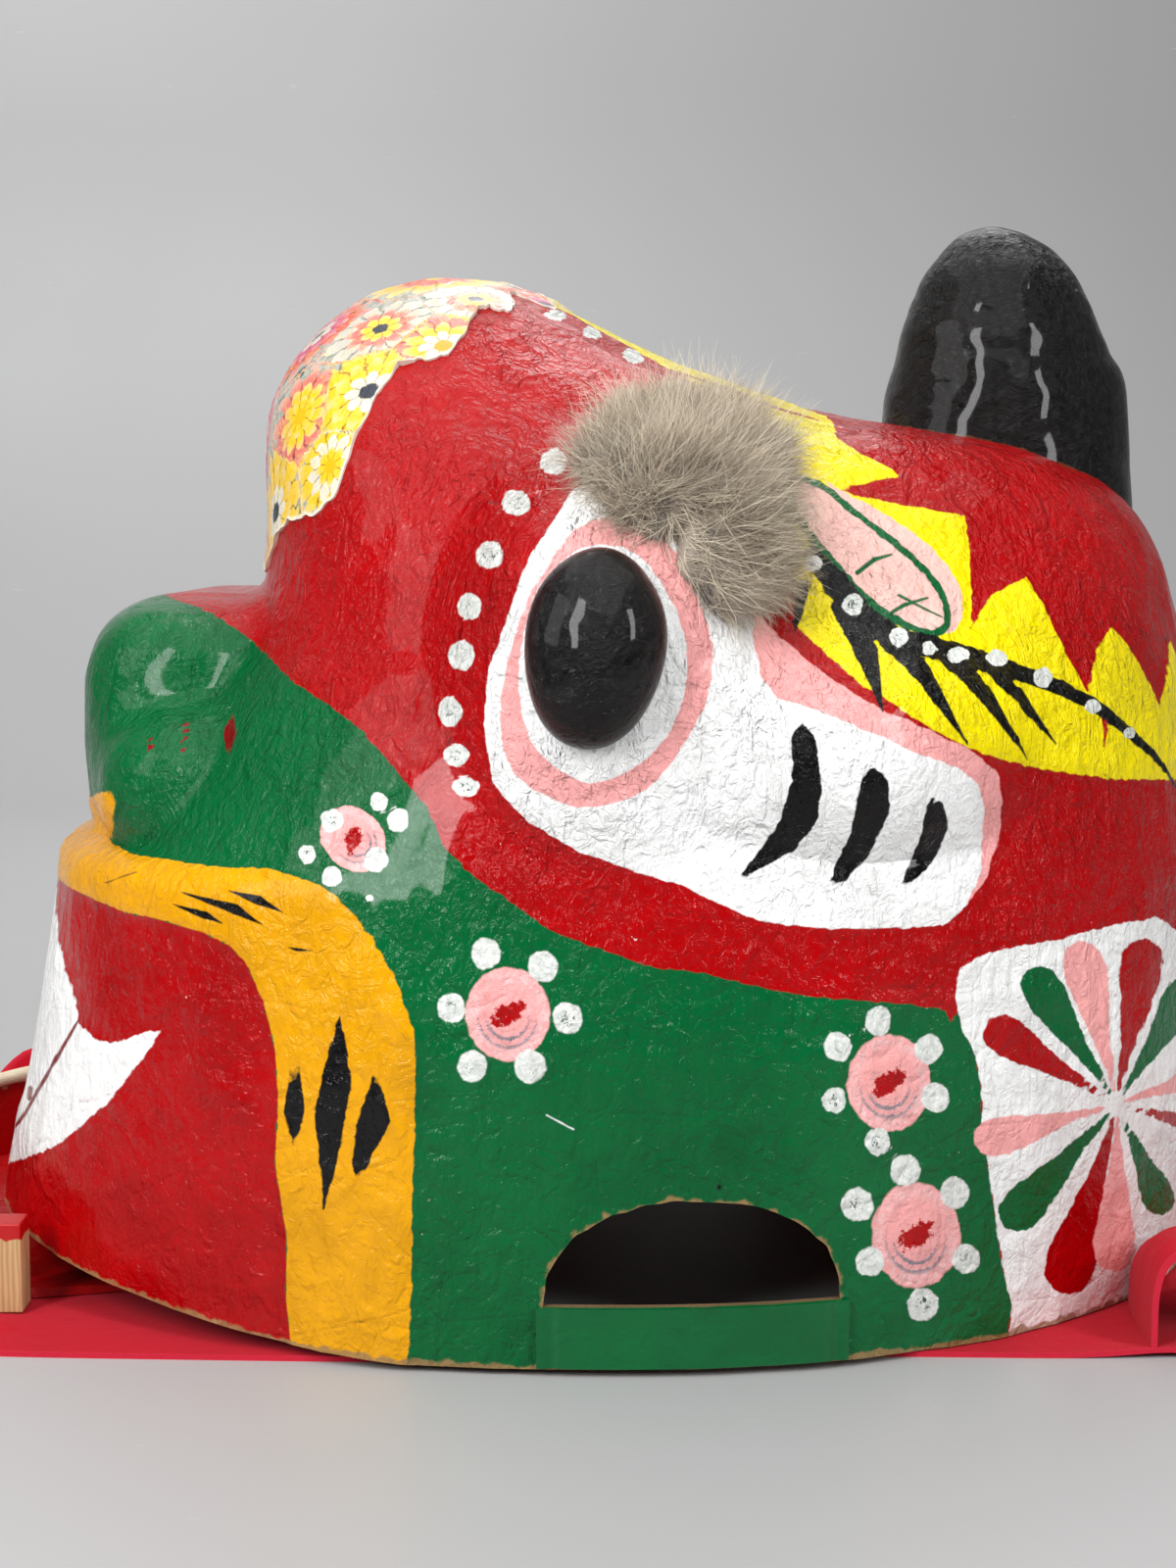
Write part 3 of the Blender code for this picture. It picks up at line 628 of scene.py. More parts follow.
class Graph(Tree):
    """Builds one finish's node tree."""

    def __init__(self, name: str) -> None:
        """Starts a material with an empty tree.

        Args:
            name: The material's name.
        """
        self.material = bpy.data.materials.new(name)
        self.material.use_nodes = True
        super().__init__(self.material.node_tree)
        self.tree.nodes.clear()

    def number(
        self, kind: str, settings: dict | None = None, inputs: dict | None = None, out: int | str = 0
    ) -> Value:
        """A node's output as a number.

        Args:
            kind: The node's type.
            settings: Its properties.
            inputs: Its sockets' values or links.
            out: Which output.

        Returns:
            The number.
        """
        return Value(self, self.node(kind, settings, inputs).outputs[out])

    def attribute(self, name: str) -> Value:
        """A number stored on the mesh."""
        return self.number("ShaderNodeAttribute", {"attribute_name": name}, {}, "Fac")

    def vector(self, name: str) -> tuple[Value, Value, Value]:
        """The three numbers of a vector stored on the mesh."""
        source = self.node("ShaderNodeAttribute", {"attribute_name": name})
        parts = self.node("ShaderNodeSeparateXYZ", {}, {0: source.outputs["Vector"]})
        return tuple(Value(self, parts.outputs[k]) for k in range(3))

    def place(self) -> Socket:
        """Object coordinates, in metres."""
        return self.node("ShaderNodeTexCoord").outputs["Object"]

    def mapped(self, scale: Triple, turn: Triple = (0.0, 0.0, 0.0)) -> Socket:
        """Object coordinates stretched and turned."""
        inputs = {"Vector": self.place(), "Scale": scale, "Rotation": turn}
        return self.node("ShaderNodeMapping", {}, inputs).outputs[0]

    def noise(
        self, size: float, detail: float = 2.0, rough: float = 0.5,
        vector: Socket | None = None, bend: float = 0.0,
    ) -> Value:
        """Noise from 0 to 1.

        Args:
            size: Size of its features in metres.
            detail: Octaves.
            rough: Strength of the finer octaves.
            vector: Coordinates, object coordinates where none are given.
            bend: Distortion.

        Returns:
            The number.
        """
        inputs = {"Scale": 1.0 / size, "Detail": detail, "Roughness": rough, "Distortion": bend}
        inputs["Vector"] = vector if vector is not None else self.place()
        return self.number("ShaderNodeTexNoise", {}, inputs)

    def cells(
        self, size: float, feature: str = "F1", vector: Socket | None = None, out: str = "Distance"
    ) -> Value:
        """Distance in a pattern of cells, in cell sizes."""
        inputs = {"Scale": 1.0 / size, "Vector": vector if vector is not None else self.place()}
        return self.number("ShaderNodeTexVoronoi", {"feature": feature}, inputs, out)

    def blend(self, mask: "Value | float", under: object, over: object, mode: str = "MIX") -> Socket:
        """Colour over another where a mask is 1.

        Args:
            mask: The mask.
            under: Colour where the mask is 0.
            over: Colour where it is 1.
            mode: Way of mixing.

        Returns:
            The colour's socket.
        """
        settings = {"data_type": "RGBA", "blend_type": mode, "clamp_factor": True}
        return self.node("ShaderNodeMix", settings, {0: mask, 6: under, 7: over}).outputs[2]

    def bump(
        self, height: Value, distance: float, strength: float = 1.0, after: Socket | None = None
    ) -> Socket:
        """Normal tilted by a height.

        Args:
            height: Height, in units of the distance.
            distance: The height's unit in metres.
            strength: Share that is used.
            after: A normal to start from.

        Returns:
            The normal's socket.
        """
        inputs = {"Height": height, "Distance": distance, "Strength": strength}
        if after is not None:
            inputs["Normal"] = after
        return self.node("ShaderNodeBump", {}, inputs).outputs[0]

    def shade(self, **inputs: object) -> Finish:
        """Ends the tree in a Principled shader.

        Args:
            **inputs: Its sockets, with _ for a space.

        Returns:
            The material.
        """
        named = {key.replace("_", " "): value for key, value in inputs.items()}
        shader = self.node("ShaderNodeBsdfPrincipled", {}, named)
        self.node("ShaderNodeOutputMaterial", {}, {"Surface": shader.outputs[0]})
        return self.material


class Pigment(Enum):
    """Colours of the paint pots, as 8-bit display colours."""

    RED = (174, 1, 5)
    DEEP_RED = (124, 4, 10)
    GREEN = (0, 98, 49)
    AMBER = (236, 165, 0)
    YELLOW = (255, 234, 0)
    PINK = (252, 174, 172)
    PALE_PINK = (253, 200, 190)
    WHITE = (250, 251, 250)
    BLACK = (10, 9, 9)
    CARD = (150, 118, 78)

    @property
    def paint(self) -> Colour:
        """The colour as the shader takes it."""
        return linear(*self.value)


@dataclass(frozen=True)
class LacquerFinish:
    """Painted and varnished papier-mache with its outlines in mesh attributes."""

    name: str = "lacquered_papier_mache"
    wobble_px: float = 1.6
    edge_px: float = 1.5

    # Region, colour, in the order in which they were painted.
    layers: tuple[tuple[str, Pigment], ...] = (
        ("green", Pigment.GREEN),
        ("amber", Pigment.AMBER),
        ("muzzle", Pigment.RED),
        ("tongue", Pigment.WHITE),
        ("panel", Pigment.WHITE),
        ("petal_red", Pigment.RED),
        ("petal_green", Pigment.GREEN),
        ("petal_pink", Pigment.PINK),
        ("yellow", Pigment.YELLOW),
        ("eye_pink", Pigment.PINK),
        ("eye_white", Pigment.WHITE),
        ("eye_ring", Pigment.PINK),
        ("eye_strokes", Pigment.BLACK),
        ("leaf_pink", Pigment.PALE_PINK),
        ("leaf", Pigment.GREEN),
        ("leaf_inside", Pigment.PALE_PINK),
        ("lash", Pigment.BLACK),
        ("diamonds", Pigment.BLACK),
        ("nose_marks", Pigment.DEEP_RED),
    )

    def make(self) -> Finish:
        """The head's paint.

        Returns:
            The material.
        """
        g = Graph(self.name)
        wander = (g.noise(0.004, 2.0) - 0.5) * (4.0 * self.wobble_px)
        shade = g.noise(0.045, 3.0, 0.55)
        colour: object = Pigment.RED.paint
        for region, pigment in self.layers:
            colour = g.blend((g.attribute(region) + wander).edge(self.edge_px), colour, pigment.paint)
        colour = self._add_lines(g, colour, wander)
        colour = self._add_flowers(g, colour, wander)
        colour = self._age(g, colour, shade)
        streaks = g.noise(0.012, 3.0, 0.6, g.mapped((1.0, 1.0, 3.0)))
        rough = shade.ramp(0.3, 0.75, 0.1, 0.22) + streaks.ramp(0.5, 0.8, 0.0, 0.14)
        normal = self._wrinkles(g)
        return g.shade(
            Base_Color=colour,
            Roughness=rough,
            Specular_IOR_Level=0.16,
            Coat_Weight=shade.ramp(0.2, 0.8, 0.25, 0.1),
            Coat_Roughness=0.08,
            Normal=normal,
        )

    def _add_lines(self, g: Graph, colour: object, wander: Value) -> object:
        """Strokes of a fine brush.

        Args:
            g: The tree.
            colour: The paint under them.
            wander: Unevenness of the brush, in pixels.

        Returns:
            The colour.
        """
        source = g.node("ShaderNodeAttribute", {"attribute_name": "picture"})
        place = source.outputs["Vector"]
        for spines, pigment in FINE_LINES:
            inside: Value | None = None
            for spine in spines:
                for start, end in zip(spine[:-1], spine[1:]):
                    depth = self._segment(g, place, start, end)
                    inside = depth if inside is None else inside.most(depth)
            colour = g.blend((inside + wander * 0.2).edge(1.6), colour, pigment.paint)
        return colour

    @staticmethod
    def _segment(g: Graph, place: Socket, start: tuple, end: tuple) -> Value:
        """Distance into one tapering length of a stroke.

        Args:
            g: The tree.
            place: Pixels across and down.
            start: Its first point and half-width.
            end: Its last point and half-width.

        Returns:
            The distance in pixels, positive inside.
        """
        run = (end[0] - start[0], end[1] - start[1], 0.0)
        rel = g.vector_math("SUBTRACT", place, (start[0], start[1], 0.0))
        dot = Value(g, g.vector_math("DOT_PRODUCT", rel, run, out="Value"))
        share = dot.ramp(0.0, run[0] ** 2 + run[1] ** 2)
        foot = g.vector_math("SCALE", run, scale=share)
        gap = Value(g, g.vector_math("DISTANCE", rel, foot, out="Value"))
        return share * (end[2] - start[2]) + start[2] - gap

    def _add_flowers(self, g: Graph, colour: object, wander: Value) -> object:
        """Pink discs with a red heart, and white dots.

        Args:
            g: The tree.
            colour: The paint under them.
            wander: Unevenness of the brush, in pixels.

        Returns:
            The colour.
        """
        across, down, size = g.vector("disc")
        radius = (across * across + down * down).root()
        rim = 1.0 - radius + wander / (size.most(1.0))
        rim = rim.least(1.16 - g.attribute("disc_reach"))
        colour = g.blend(rim.edge(0.05), colour, Pigment.PINK.paint)
        swirl = g.noise(0.0042, 3.0, 0.6, bend=2.5)
        arcs = (radius * 34.0 + swirl * 5.0).sine()
        ring = (radius - 0.6).size().ramp(0.08, 0.3, 1.0, 0.0) * (down + swirl - 0.5).ramp(0.0, 0.45)
        ring = ring * arcs.ramp(0.0, 0.6, 0.15, 0.9)
        colour = g.blend(ring * rim.edge(0.05), colour, linear(126, 128, 138))
        pale = (radius - 0.85).size().ramp(0.02, 0.2, 1.0, 0.0) * swirl.ramp(0.4, 0.62, 0.7, 0.0)
        colour = g.blend(pale * rim.edge(0.05), colour, linear(240, 205, 205))
        slant = down + across * 0.35
        ragged = g.noise(0.0022, 3.0, 0.7) - 0.5
        heart = 0.3 - (across * across * 0.6 + slant * slant * 1.8).root() + ragged * 0.6
        heart = heart.least(rim)
        colour = g.blend(heart.edge(0.06), colour, Pigment.RED.paint)
        across, down, size = g.vector("dot")
        radius = (across * across + down * down).root()
        dot = (1.0 - radius + wander / (size.most(1.0))).least(1.18 - g.attribute("dot_reach"))
        thick = g.noise(0.002, 2.0).ramp(0.3, 0.7, 0.0, 1.0)
        white = g.blend(thick, linear(205, 212, 206), linear(244, 244, 240))
        dab = ((g.noise(0.0018, 3.0, 0.7, bend=1.0) - 0.56) * 3.0).least(0.5 - radius)
        white = g.blend(dab.edge(0.1) * g.noise(0.03, 1.0).ramp(0.45, 0.55), white, linear(70, 84, 84))
        return g.blend(dot.edge(0.12), colour, white)

    def _age(self, g: Graph, colour: object, shade: Value) -> object:
        """Uneven paint, grime and small chips.

        Args:
            g: The tree.
            colour: The fresh paint.
            shade: Broad variation from 0 to 1.

        Returns:
            The colour.
        """
        colour = g.blend(shade.ramp(0.35, 0.7, 0.0, 0.22), colour, (0.25, 0.22, 0.2), "MULTIPLY")
        brushed = g.noise(0.006, 4.0, 0.65, g.mapped((1.0, 1.0, 0.35), (0.3, 0.2, 0.0)))
        colour = g.blend(brushed.ramp(0.45, 0.75, 0.0, 0.25), colour, (0.62, 0.6, 0.58), "MULTIPLY")
        grime = g.noise(0.11, 4.0, 0.7).ramp(0.55, 0.78, 0.0, 0.3)
        colour = g.blend(grime, colour, linear(96, 74, 40), "MULTIPLY")
        chips = g.noise(0.0035, 3.0, 0.7).ramp(0.735, 0.75, 0.0, 1.0) * g.noise(0.05, 1.0).ramp(0.5, 0.6)
        colour = g.blend(chips, colour, linear(214, 205, 190))
        rim = g.attribute("rim")
        worn = (rim + (g.noise(0.006, 3.0) - 0.5) * 5.0).ramp(0.9, 1.6, 1.0, 0.0)
        return g.blend(worn * 0.85, colour, Pigment.CARD.paint)

    def _wrinkles(self, g: Graph) -> Socket:
        """Pasted-paper wrinkles, brush marks and crackle under the varnish.

        Args:
            g: The tree.

        Returns:
            The normal's socket.
        """
        broad = (g.noise(0.016, 2.0, 0.5, bend=0.6) - 0.5).size() * 2.0
        fine = (g.noise(0.005, 3.0, 0.6, bend=0.8) - 0.5).size() * 2.0
        cuts = g.cells(0.014, "DISTANCE_TO_EDGE").ramp(0.0, 0.05)
        turned = g.mapped((1.0, 1.0, 1.0), (0.5, 0.4, 0.9))
        torn = g.cells(0.045, "DISTANCE_TO_EDGE", turned).ramp(0.0, 0.02)
        grain = g.noise(0.0012, 2.0)
        height = Value(g, g.node("ShaderNodeSeparateXYZ", {}, {0: g.place()}).outputs[2])
        crumpled = height.ramp(0.1, 0.22, 0.35, 1.0) * g.noise(0.07, 2.0).ramp(0.36, 0.6, 0.45, 1.0)
        folds = (g.noise(0.011, 3.0, 0.6, g.mapped((1.0, 1.0, 0.45)), 0.7) - 0.5).size() * 2.0
        normal = g.bump(broad, 0.0022, 0.75)
        normal = g.bump(folds * crumpled, 0.0042, 0.85, normal)
        normal = g.bump(fine * crumpled.ramp(0.2, 1.0, 0.4, 1.2), 0.0016, 0.85, normal)
        normal = g.bump(torn + cuts * 0.25, 0.0003, 0.5, normal)
        return g.bump(grain, 0.0001, 0.5, normal)


@dataclass(frozen=True)
class RawPaperFinish:
    """Bare pasted paper, as on the inside and on cut edges."""

    name: str
    light: Colour
    dark: Colour

    def make(self) -> Finish:
        """The material."""
        g = Graph(self.name)
        patches = g.cells(0.035, "F1", out="Color")
        stain = g.noise(0.05, 4.0, 0.6)
        colour = g.blend(patches * 0.5 + stain * 0.5, self.dark, self.light)
        fibre = g.noise(0.0015, 3.0, 0.7)
        colour = g.blend(fibre.ramp(0.4, 0.7, 0.0, 0.35), colour, linear(90, 70, 45), "MULTIPLY")
        normal = g.bump(g.noise(0.012, 3.0), 0.0012, 0.6)
        normal = g.bump(fibre, 0.0002, 0.6, normal)
        return g.shade(Base_Color=colour, Roughness=stain.ramp(0.3, 0.7, 0.75, 0.92), Normal=normal)


@dataclass(frozen=True)
class GlossBlackFinish:
    """Thick glossy black varnish over wrinkled paper."""

    name: str
    wrinkle: float
    seam: bool = False

    def make(self) -> Finish:
        """The material."""
        g = Graph(self.name)
        stain = g.noise(0.02, 3.0)
        colour: object = g.blend(stain.ramp(0.4, 0.7, 0.0, 0.6), linear(9, 8, 9), linear(24, 22, 22))
        scuff = g.noise(0.002, 4.0, 0.75).ramp(0.66, 0.72) * g.noise(0.03, 2.0).ramp(0.5, 0.62)
        colour = g.blend(scuff * 0.6, colour, linear(120, 112, 100))
        rough = stain.ramp(0.35, 0.7, 0.1, 0.24)
        if self.seam:
            low = g.attribute("base") + (g.noise(0.005, 3.0) - 0.5) * 3.0
            torn = low.ramp(1.2, 2.0, 1.0, 0.0)
            colour = g.blend(torn, colour, linear(96, 58, 30))
            rough = rough + torn * 0.5
        bands = g.noise(0.011, 3.0, 0.6, g.mapped((1.0, 1.0, 1.3)), 0.7)
        normal = g.bump((bands - 0.5).size() * 2.0, 0.0014, self.wrinkle)
        normal = g.bump(g.noise(0.0036, 4.0, 0.75, bend=0.8), 0.0026, self.wrinkle, normal)
        return g.shade(
            Base_Color=colour, Roughness=rough, Coat_Weight=0.22, Coat_Roughness=0.06,
            Specular_IOR_Level=0.16, Normal=normal,
        )


@dataclass(frozen=True)
class FurFinish:
    """Rabbit hair: slate at the root, brown along its length, cream at the tip."""

    name: str = "rabbit_fur"

    def make(self) -> Finish:
        """The material."""
        g = Graph(self.name)
        along = g.attribute("along")
        tone = g.attribute("tone")
        stops = [
            (0.0, linear(150, 142, 136)),
            (0.35, linear(182, 172, 160)),
            (0.62, linear(206, 192, 174)),
            (0.8, linear(158, 140, 122)),
            (1.0, linear(232, 220, 200)),
        ]
        hair = g.node("ShaderNodeValToRGB", {"stops": stops}, {0: along}).outputs[0]
        patch = g.noise(0.018, 2.0)
        hair = g.blend(patch.ramp(0.45, 0.62, 0.0, 0.55), hair, linear(222, 208, 190))
        hair = g.blend(tone.ramp(0.1, 0.6, 0.45, 0.0), hair, linear(118, 106, 94), "MULTIPLY")
        hair = g.blend(tone.ramp(0.81, 0.83, 0.0, 0.85), hair, linear(238, 226, 200))
        return g.shade(Base_Color=hair, Roughness=tone.ramp(0.0, 1.0, 0.45, 0.7), Specular_IOR_Level=0.3)


@dataclass(frozen=True)
class FeltFinish:
    """Crimson felt with its matted fibres."""

    name: str = "crimson_felt"
    dark: Colour = linear(140, 0, 16)
    light: Colour = linear(204, 8, 34)

    def make(self) -> Finish:
        """The material."""
        g = Graph(self.name)
        broad = g.noise(0.06, 3.0)
        fibre = g.noise(0.0011, 4.0, 0.75, bend=1.2)
        matted = g.noise(0.004, 3.0, 0.6)
        colour = g.blend(broad * 0.45 + fibre * 0.55, self.dark, self.light)
        lint = g.noise(0.0008, 2.0, 0.8, bend=2.0).ramp(0.7, 0.76)
        colour = g.blend(lint * 0.35, colour, linear(224, 150, 150))
        edge = g.attribute("edge").ramp(0.0, 1.6, 0.4, 0.0)
        colour = g.blend(edge, colour, linear(226, 60, 84))
        normal = g.bump(matted, 0.0006, 0.5)
        normal = g.bump(fibre, 0.00025, 0.8, normal)
        return g.shade(
            Base_Color=colour, Roughness=fibre.ramp(0.3, 0.7, 0.82, 0.96), Normal=normal,
            Specular_IOR_Level=0.1, Sheen_Weight=0.2, Sheen_Roughness=0.45,
            Sheen_Tint=(0.95, 0.3, 0.35, 1.0),
        )


@dataclass(frozen=True)
class PlainPaintFinish:
    """One coat of varnished paint on card or paper, worn to the card at its edges."""

    name: str
    paint: Colour
    gloss: float = 0.3

    def make(self) -> Finish:
        """The material."""
        g = Graph(self.name)
        shade = g.noise(0.03, 3.0)
        colour = g.blend(shade.ramp(0.35, 0.7, 0.0, 0.3), self.paint, (0.3, 0.28, 0.26), "MULTIPLY")
        worn = (g.attribute("edge") + (g.noise(0.004, 3.0) - 0.5) * 2.4).ramp(0.15, 0.5, 1.0, 0.0)
        colour = g.blend(worn, colour, Pigment.CARD.paint)
        rough = shade.ramp(0.3, 0.7, self.gloss - 0.08, self.gloss + 0.1) + worn * 0.4
        normal = g.bump((g.noise(0.012, 2.0, bend=0.6) - 0.5).size() * 2.0, 0.0012, 0.5)
        normal = g.bump(g.noise(0.0016, 3.0), 0.0002, 0.5, normal)
        return g.shade(
            Base_Color=colour, Roughness=rough, Coat_Weight=0.2, Coat_Roughness=0.12,
            Specular_IOR_Level=0.26, Normal=normal,
        )


@dataclass(frozen=True)
class ClothBandFinish:
    """Unbleached cotton band with its weave."""

    name: str = "cream_band"

    def make(self) -> Finish:
        """The material."""
        g = Graph(self.name)
        stain = g.noise(0.02, 4.0, 0.6)
        colour = g.blend(stain.ramp(0.3, 0.75), linear(240, 228, 206), linear(198, 176, 138))
        threads = {"Vector": g.place(), "Scale": 420.0, "Distortion": 1.2}
        warp, weft = (g.number("ShaderNodeTexWave", {"bands_direction": way}, threads) for way in "ZX")
        weave = warp.most(weft)
        colour = g.blend(weave.ramp(0.2, 0.6, 0.35, 0.0), colour, linear(150, 128, 96), "MULTIPLY")
        normal = g.bump(weave, 0.0003, 0.7)
        rough = stain.ramp(0.3, 0.7, 0.8, 0.95)
        return g.shade(Base_Color=colour, Roughness=rough, Normal=normal, Sheen_Weight=0.2)


@dataclass(frozen=True)
class WoodFinish:
    """Raw pale wood with red paint on its upper end."""

    name: str = "jaw_wood"

    def make(self) -> Finish:
        """The material."""
        g = Graph(self.name)
        grain = g.noise(0.004, 5.0, 0.65, g.mapped((1.0, 1.0, 0.12), (0.05, 0.03, 0.0)), 0.4)
        rings = {"Vector": g.mapped((1.0, 1.0, 0.2)), "Scale": 180.0, "Distortion": 4.0}
        rays = g.number("ShaderNodeTexWave", {"wave_type": "RINGS"}, rings)
        colour = g.blend(grain * 0.6 + rays * 0.4, linear(150, 110, 66), linear(216, 182, 132))
        painted = (g.attribute("height") + (g.noise(0.004, 2.0) - 0.5) * 4.0).edge(0.6, 29.0)
        colour = g.blend(painted, colour, Pigment.RED.paint)
        normal = g.bump(grain, 0.0004, 0.6)
        return g.shade(Base_Color=colour, Roughness=painted.ramp(0.0, 1.0, 0.72, 0.4), Normal=normal)


# Painted outlines, in pixels of the picture. Left of pixel 0 and right of pixel 1200 they go on
# round the muzzle and round the back, where the picture shows nothing.
GREEN_EDGE = (
    (141, 601), (188, 613), (223, 630), (261, 657), (299, 696), (334, 718), (372, 748), (399, 780),
    (434, 821), (450, 859), (480, 892), (532, 928), (566, 952), (612, 968), (668, 988), (712, 992),
    (778, 1008), (820, 1016), (928, 1025), (960, 1030), (976, 1048),
)
PANEL_LEFT = (
    (973, 1016), (983, 1051), (995, 1073), (1002, 1111), (1002, 1143), (1011, 1207), (1018, 1255),
    (1024, 1296), (1032, 1331), (1027, 1363), (1030, 1500),
)
PANEL_TOP = ((1196, 945), (1180, 936), (1132, 945), (1085, 958), (1011, 971), (978, 987))
PANEL_RIGHT = ((1330, 1500), (1322, 1375), (1312, 1160), (1262, 1020), (1214, 962))
AMBER_GREEN_SIDE = (
    (92, 813), (112, 806), (121, 815), (115, 862), (137, 873), (192, 882), (222, 886), (274, 887),
    (322, 901), (344, 914), (381, 958), (407, 1006), (424, 1055), (424, 1117), (422, 1203),
    (420, 1321), (417, 1391), (415, 1500),
)
AMBER_RED_SIDE = (
    (55, 866), (61, 899), (92, 916), (126, 931), (163, 938), (207, 951), (237, 966), (255, 988),
    (270, 1025), (281, 1069), (285, 1121), (282, 1184), (292, 1258), (292, 1328), (297, 1372),
    (300, 1500),
)
TONGUE = (
    (56, 907), (58, 935), (61, 962), (70, 1000), (79, 1030), (79, 1043), (88, 1051), (102, 1063),
    (120, 1064), (142, 1055), (166, 1050), (153, 1070), (134, 1094), (112, 1125), (88, 1145),
    (64, 1166), (40, 1177), (13, 1185), (-30, 1192), (-70, 1188), (-96, 1150), (-88, 1090),
    (-60, 1030), (-28, 980), (6, 936), (34, 905),
)
YELLOW = (
    (530, 262), (640, 300), (760, 350), (870, 405), (850, 446), (881, 466), (921, 484), (902, 490),
    (869, 498), (850, 499), (878, 509), (933, 518), (984, 527), (988, 557), (991, 606), (990, 645),
    (1000, 625), (1011, 608), (1046, 590), (1065, 619), (1089, 671), (1111, 711), (1112, 686),
    (1120, 658), (1135, 640), (1153, 665), (1175, 704), (1184, 726), (1189, 690), (1196, 652),
    (1222, 700), (1240, 734), (1262, 690), (1274, 668), (1300, 706), (1322, 740), (1344, 690),
    (1358, 672), (1384, 712), (1404, 742), (1430, 690), (1600, 690), (1600, 800), (1200, 796),
    (1135, 795), (1086, 789), (1043, 781), (994, 767), (940, 740), (880, 700), (812, 640),
    (806, 560), (800, 480), (762, 428), (722, 403), (690, 380), (648, 352), (600, 326), (545, 302),
)
EYE_WHITE = (
    (584, 502), (541, 570), (514, 640), (498, 686), (495, 741), (504, 799), (539, 839), (592, 869),
    (645, 889), (698, 905), (745, 928), (778, 940), (844, 948), (900, 947), (960, 945), (985, 925),
    (1000, 890), (1003, 824), (997, 799), (976, 784), (927, 766), (872, 741), (820, 720),
    (792, 714), (776, 690), (768, 655), (766, 610), (740, 540), (690, 480), (630, 470),
)
EYE_PINK = (
    (760, 600), (776, 632), (792, 646), (835, 683), (899, 726), (951, 747), (994, 769), (1019, 790),
    (1022, 815), (1019, 860), (1004, 900), (985, 925), (900, 900), (760, 800), (730, 680),
)
RING_OUTER = (
    (627, 524), (590, 536), (572, 557), (544, 600), (526, 646), (514, 692), (511, 732), (517, 775),
    (535, 799), (563, 815), (587, 824), (618, 822), (651, 812), (676, 790), (700, 756), (722, 717),
    (726, 680), (725, 646), (717, 625), (700, 575), (668, 536),
)
RING_INNER = (
    (612, 553), (581, 564), (556, 591), (538, 631), (530, 671), (529, 704), (534, 735), (547, 766),
    (569, 784), (593, 799), (618, 798), (651, 781), (679, 756), (694, 726), (700, 698), (700, 650),
    (680, 600), (650, 562),
)
EYE_STROKES = (
    ((819, 738), (808, 750), (808, 796), (795, 839), (761, 885), (746, 904), (778, 885), (808, 869),
     (834, 836), (838, 806), (833, 753)),
    ((886, 779), (877, 800), (867, 852), (851, 882), (844, 905), (861, 899), (890, 865), (907, 825),
     (905, 795)),
    ((945, 812), (938, 850), (927, 880), (916, 907), (934, 898), (950, 880), (966, 840), (960, 818)),
)
LEAF = (
    (800, 485), (841, 496), (863, 515), (902, 545), (939, 576), (964, 606), (970, 640), (961, 652),
    (945, 657), (918, 646), (887, 628), (857, 594), (838, 570), (820, 548), (800, 520),
)
LEAF_PINK = (
    (830, 488), (870, 508), (909, 530), (939, 551), (964, 576), (979, 600), (983, 625), (976, 643),
    (958, 655), (930, 600), (880, 540),
)
LEAF_VEINS = (
    ((873, 588, 2.2), (890, 575, 2.6), (907, 570, 1.2)),
    ((905, 632, 1.8), (920, 622, 2.4), (944, 614, 1.2)),
    ((915, 612, 1.5), (940, 625, 1.5), (958, 634, 1.0)),
)
LASH = (
    ((826, 566, 8.0), (850, 596, 13.0), (880, 636, 13.0), (915, 655, 10.0), (950, 664, 11.0),
     (985, 672, 12.0), (1030, 684, 9.0), (1074, 700, 7.5), (1111, 718, 6.5), (1148, 746, 5.5),
     (1175, 772, 3.5), (1203, 806, 0.8)),
    ((862, 622, 15.0), (882, 668, 10.0), (899, 725, 0.8)),
    ((818, 600, 7.0), (814, 625, 5.0), (810, 645, 0.8)),
    ((908, 655, 13.0), (942, 694, 8.0), (983, 759, 0.8)),
    ((968, 672, 12.0), (1010, 720, 6.0), (1045, 773, 0.8)),
    ((1010, 682, 9.0), (1044, 722, 4.5), (1074, 759, 0.8)),
)
DIAMONDS = (
    ((303, 1066), (313, 1125), (305, 1180), (291, 1132)),
    ((347, 1030), (361, 1099), (351, 1162), (332, 1236), (323, 1132)),
    ((385, 1088), (400, 1143), (366, 1207), (361, 1188), (364, 1147)),
)
NOSE_MARKS = (
    ((155, 752, 2.0), (154, 763, 4.0), (152, 774, 2.0)),
    ((191, 737, 2.5), (188, 755, 5.0), (187, 768, 2.0)),
    ((238, 728, 2.5), (235, 750, 6.0), (233, 770, 2.0)),
)
TONGUE_LINES = (
    ((80, 1041, 1.0), (72, 1056, 1.8), (56, 1086, 2.0), (40, 1115, 2.0), (24, 1142, 1.8),
     (10, 1160, 0.8)),
    ((33, 1111, 2.6), (32, 1121, 2.6)),
)
RIDGE_LINES = (
    ((640, 352, 0.8), (687, 380, 2.0), (747, 398, 2.4), (792, 417, 2.4), (838, 433, 0.8)),
    ((1123, 730, 2.6), (1126, 745, 1.8), (1124, 762, 0.8)),
)
LEDGE_MARKS = (
    ((188, 911, 0.4), (243, 928, 5.4), (269, 943, 0.4)),
    ((180, 923, 0.4), (212, 934, 4.0), (229, 942, 0.4)),
    ((236, 910, 0.4), (266, 919, 4.6), (290, 931, 0.4)),
)
WEAR_LINES = (
    ((296, 967, 0.4), (304, 969, 1.8), (320, 970, 0.4)),
    ((110, 901, 0.3), (141, 892, 0.6)),
    ((734, 1211, 2.2), (734, 1212, 2.2)),
)
SCRATCHES = (
    ((558, 1138, 0.7), (585, 1152, 0.6)),
    ((377, 916, 2.4), (378, 917, 2.4)),
)
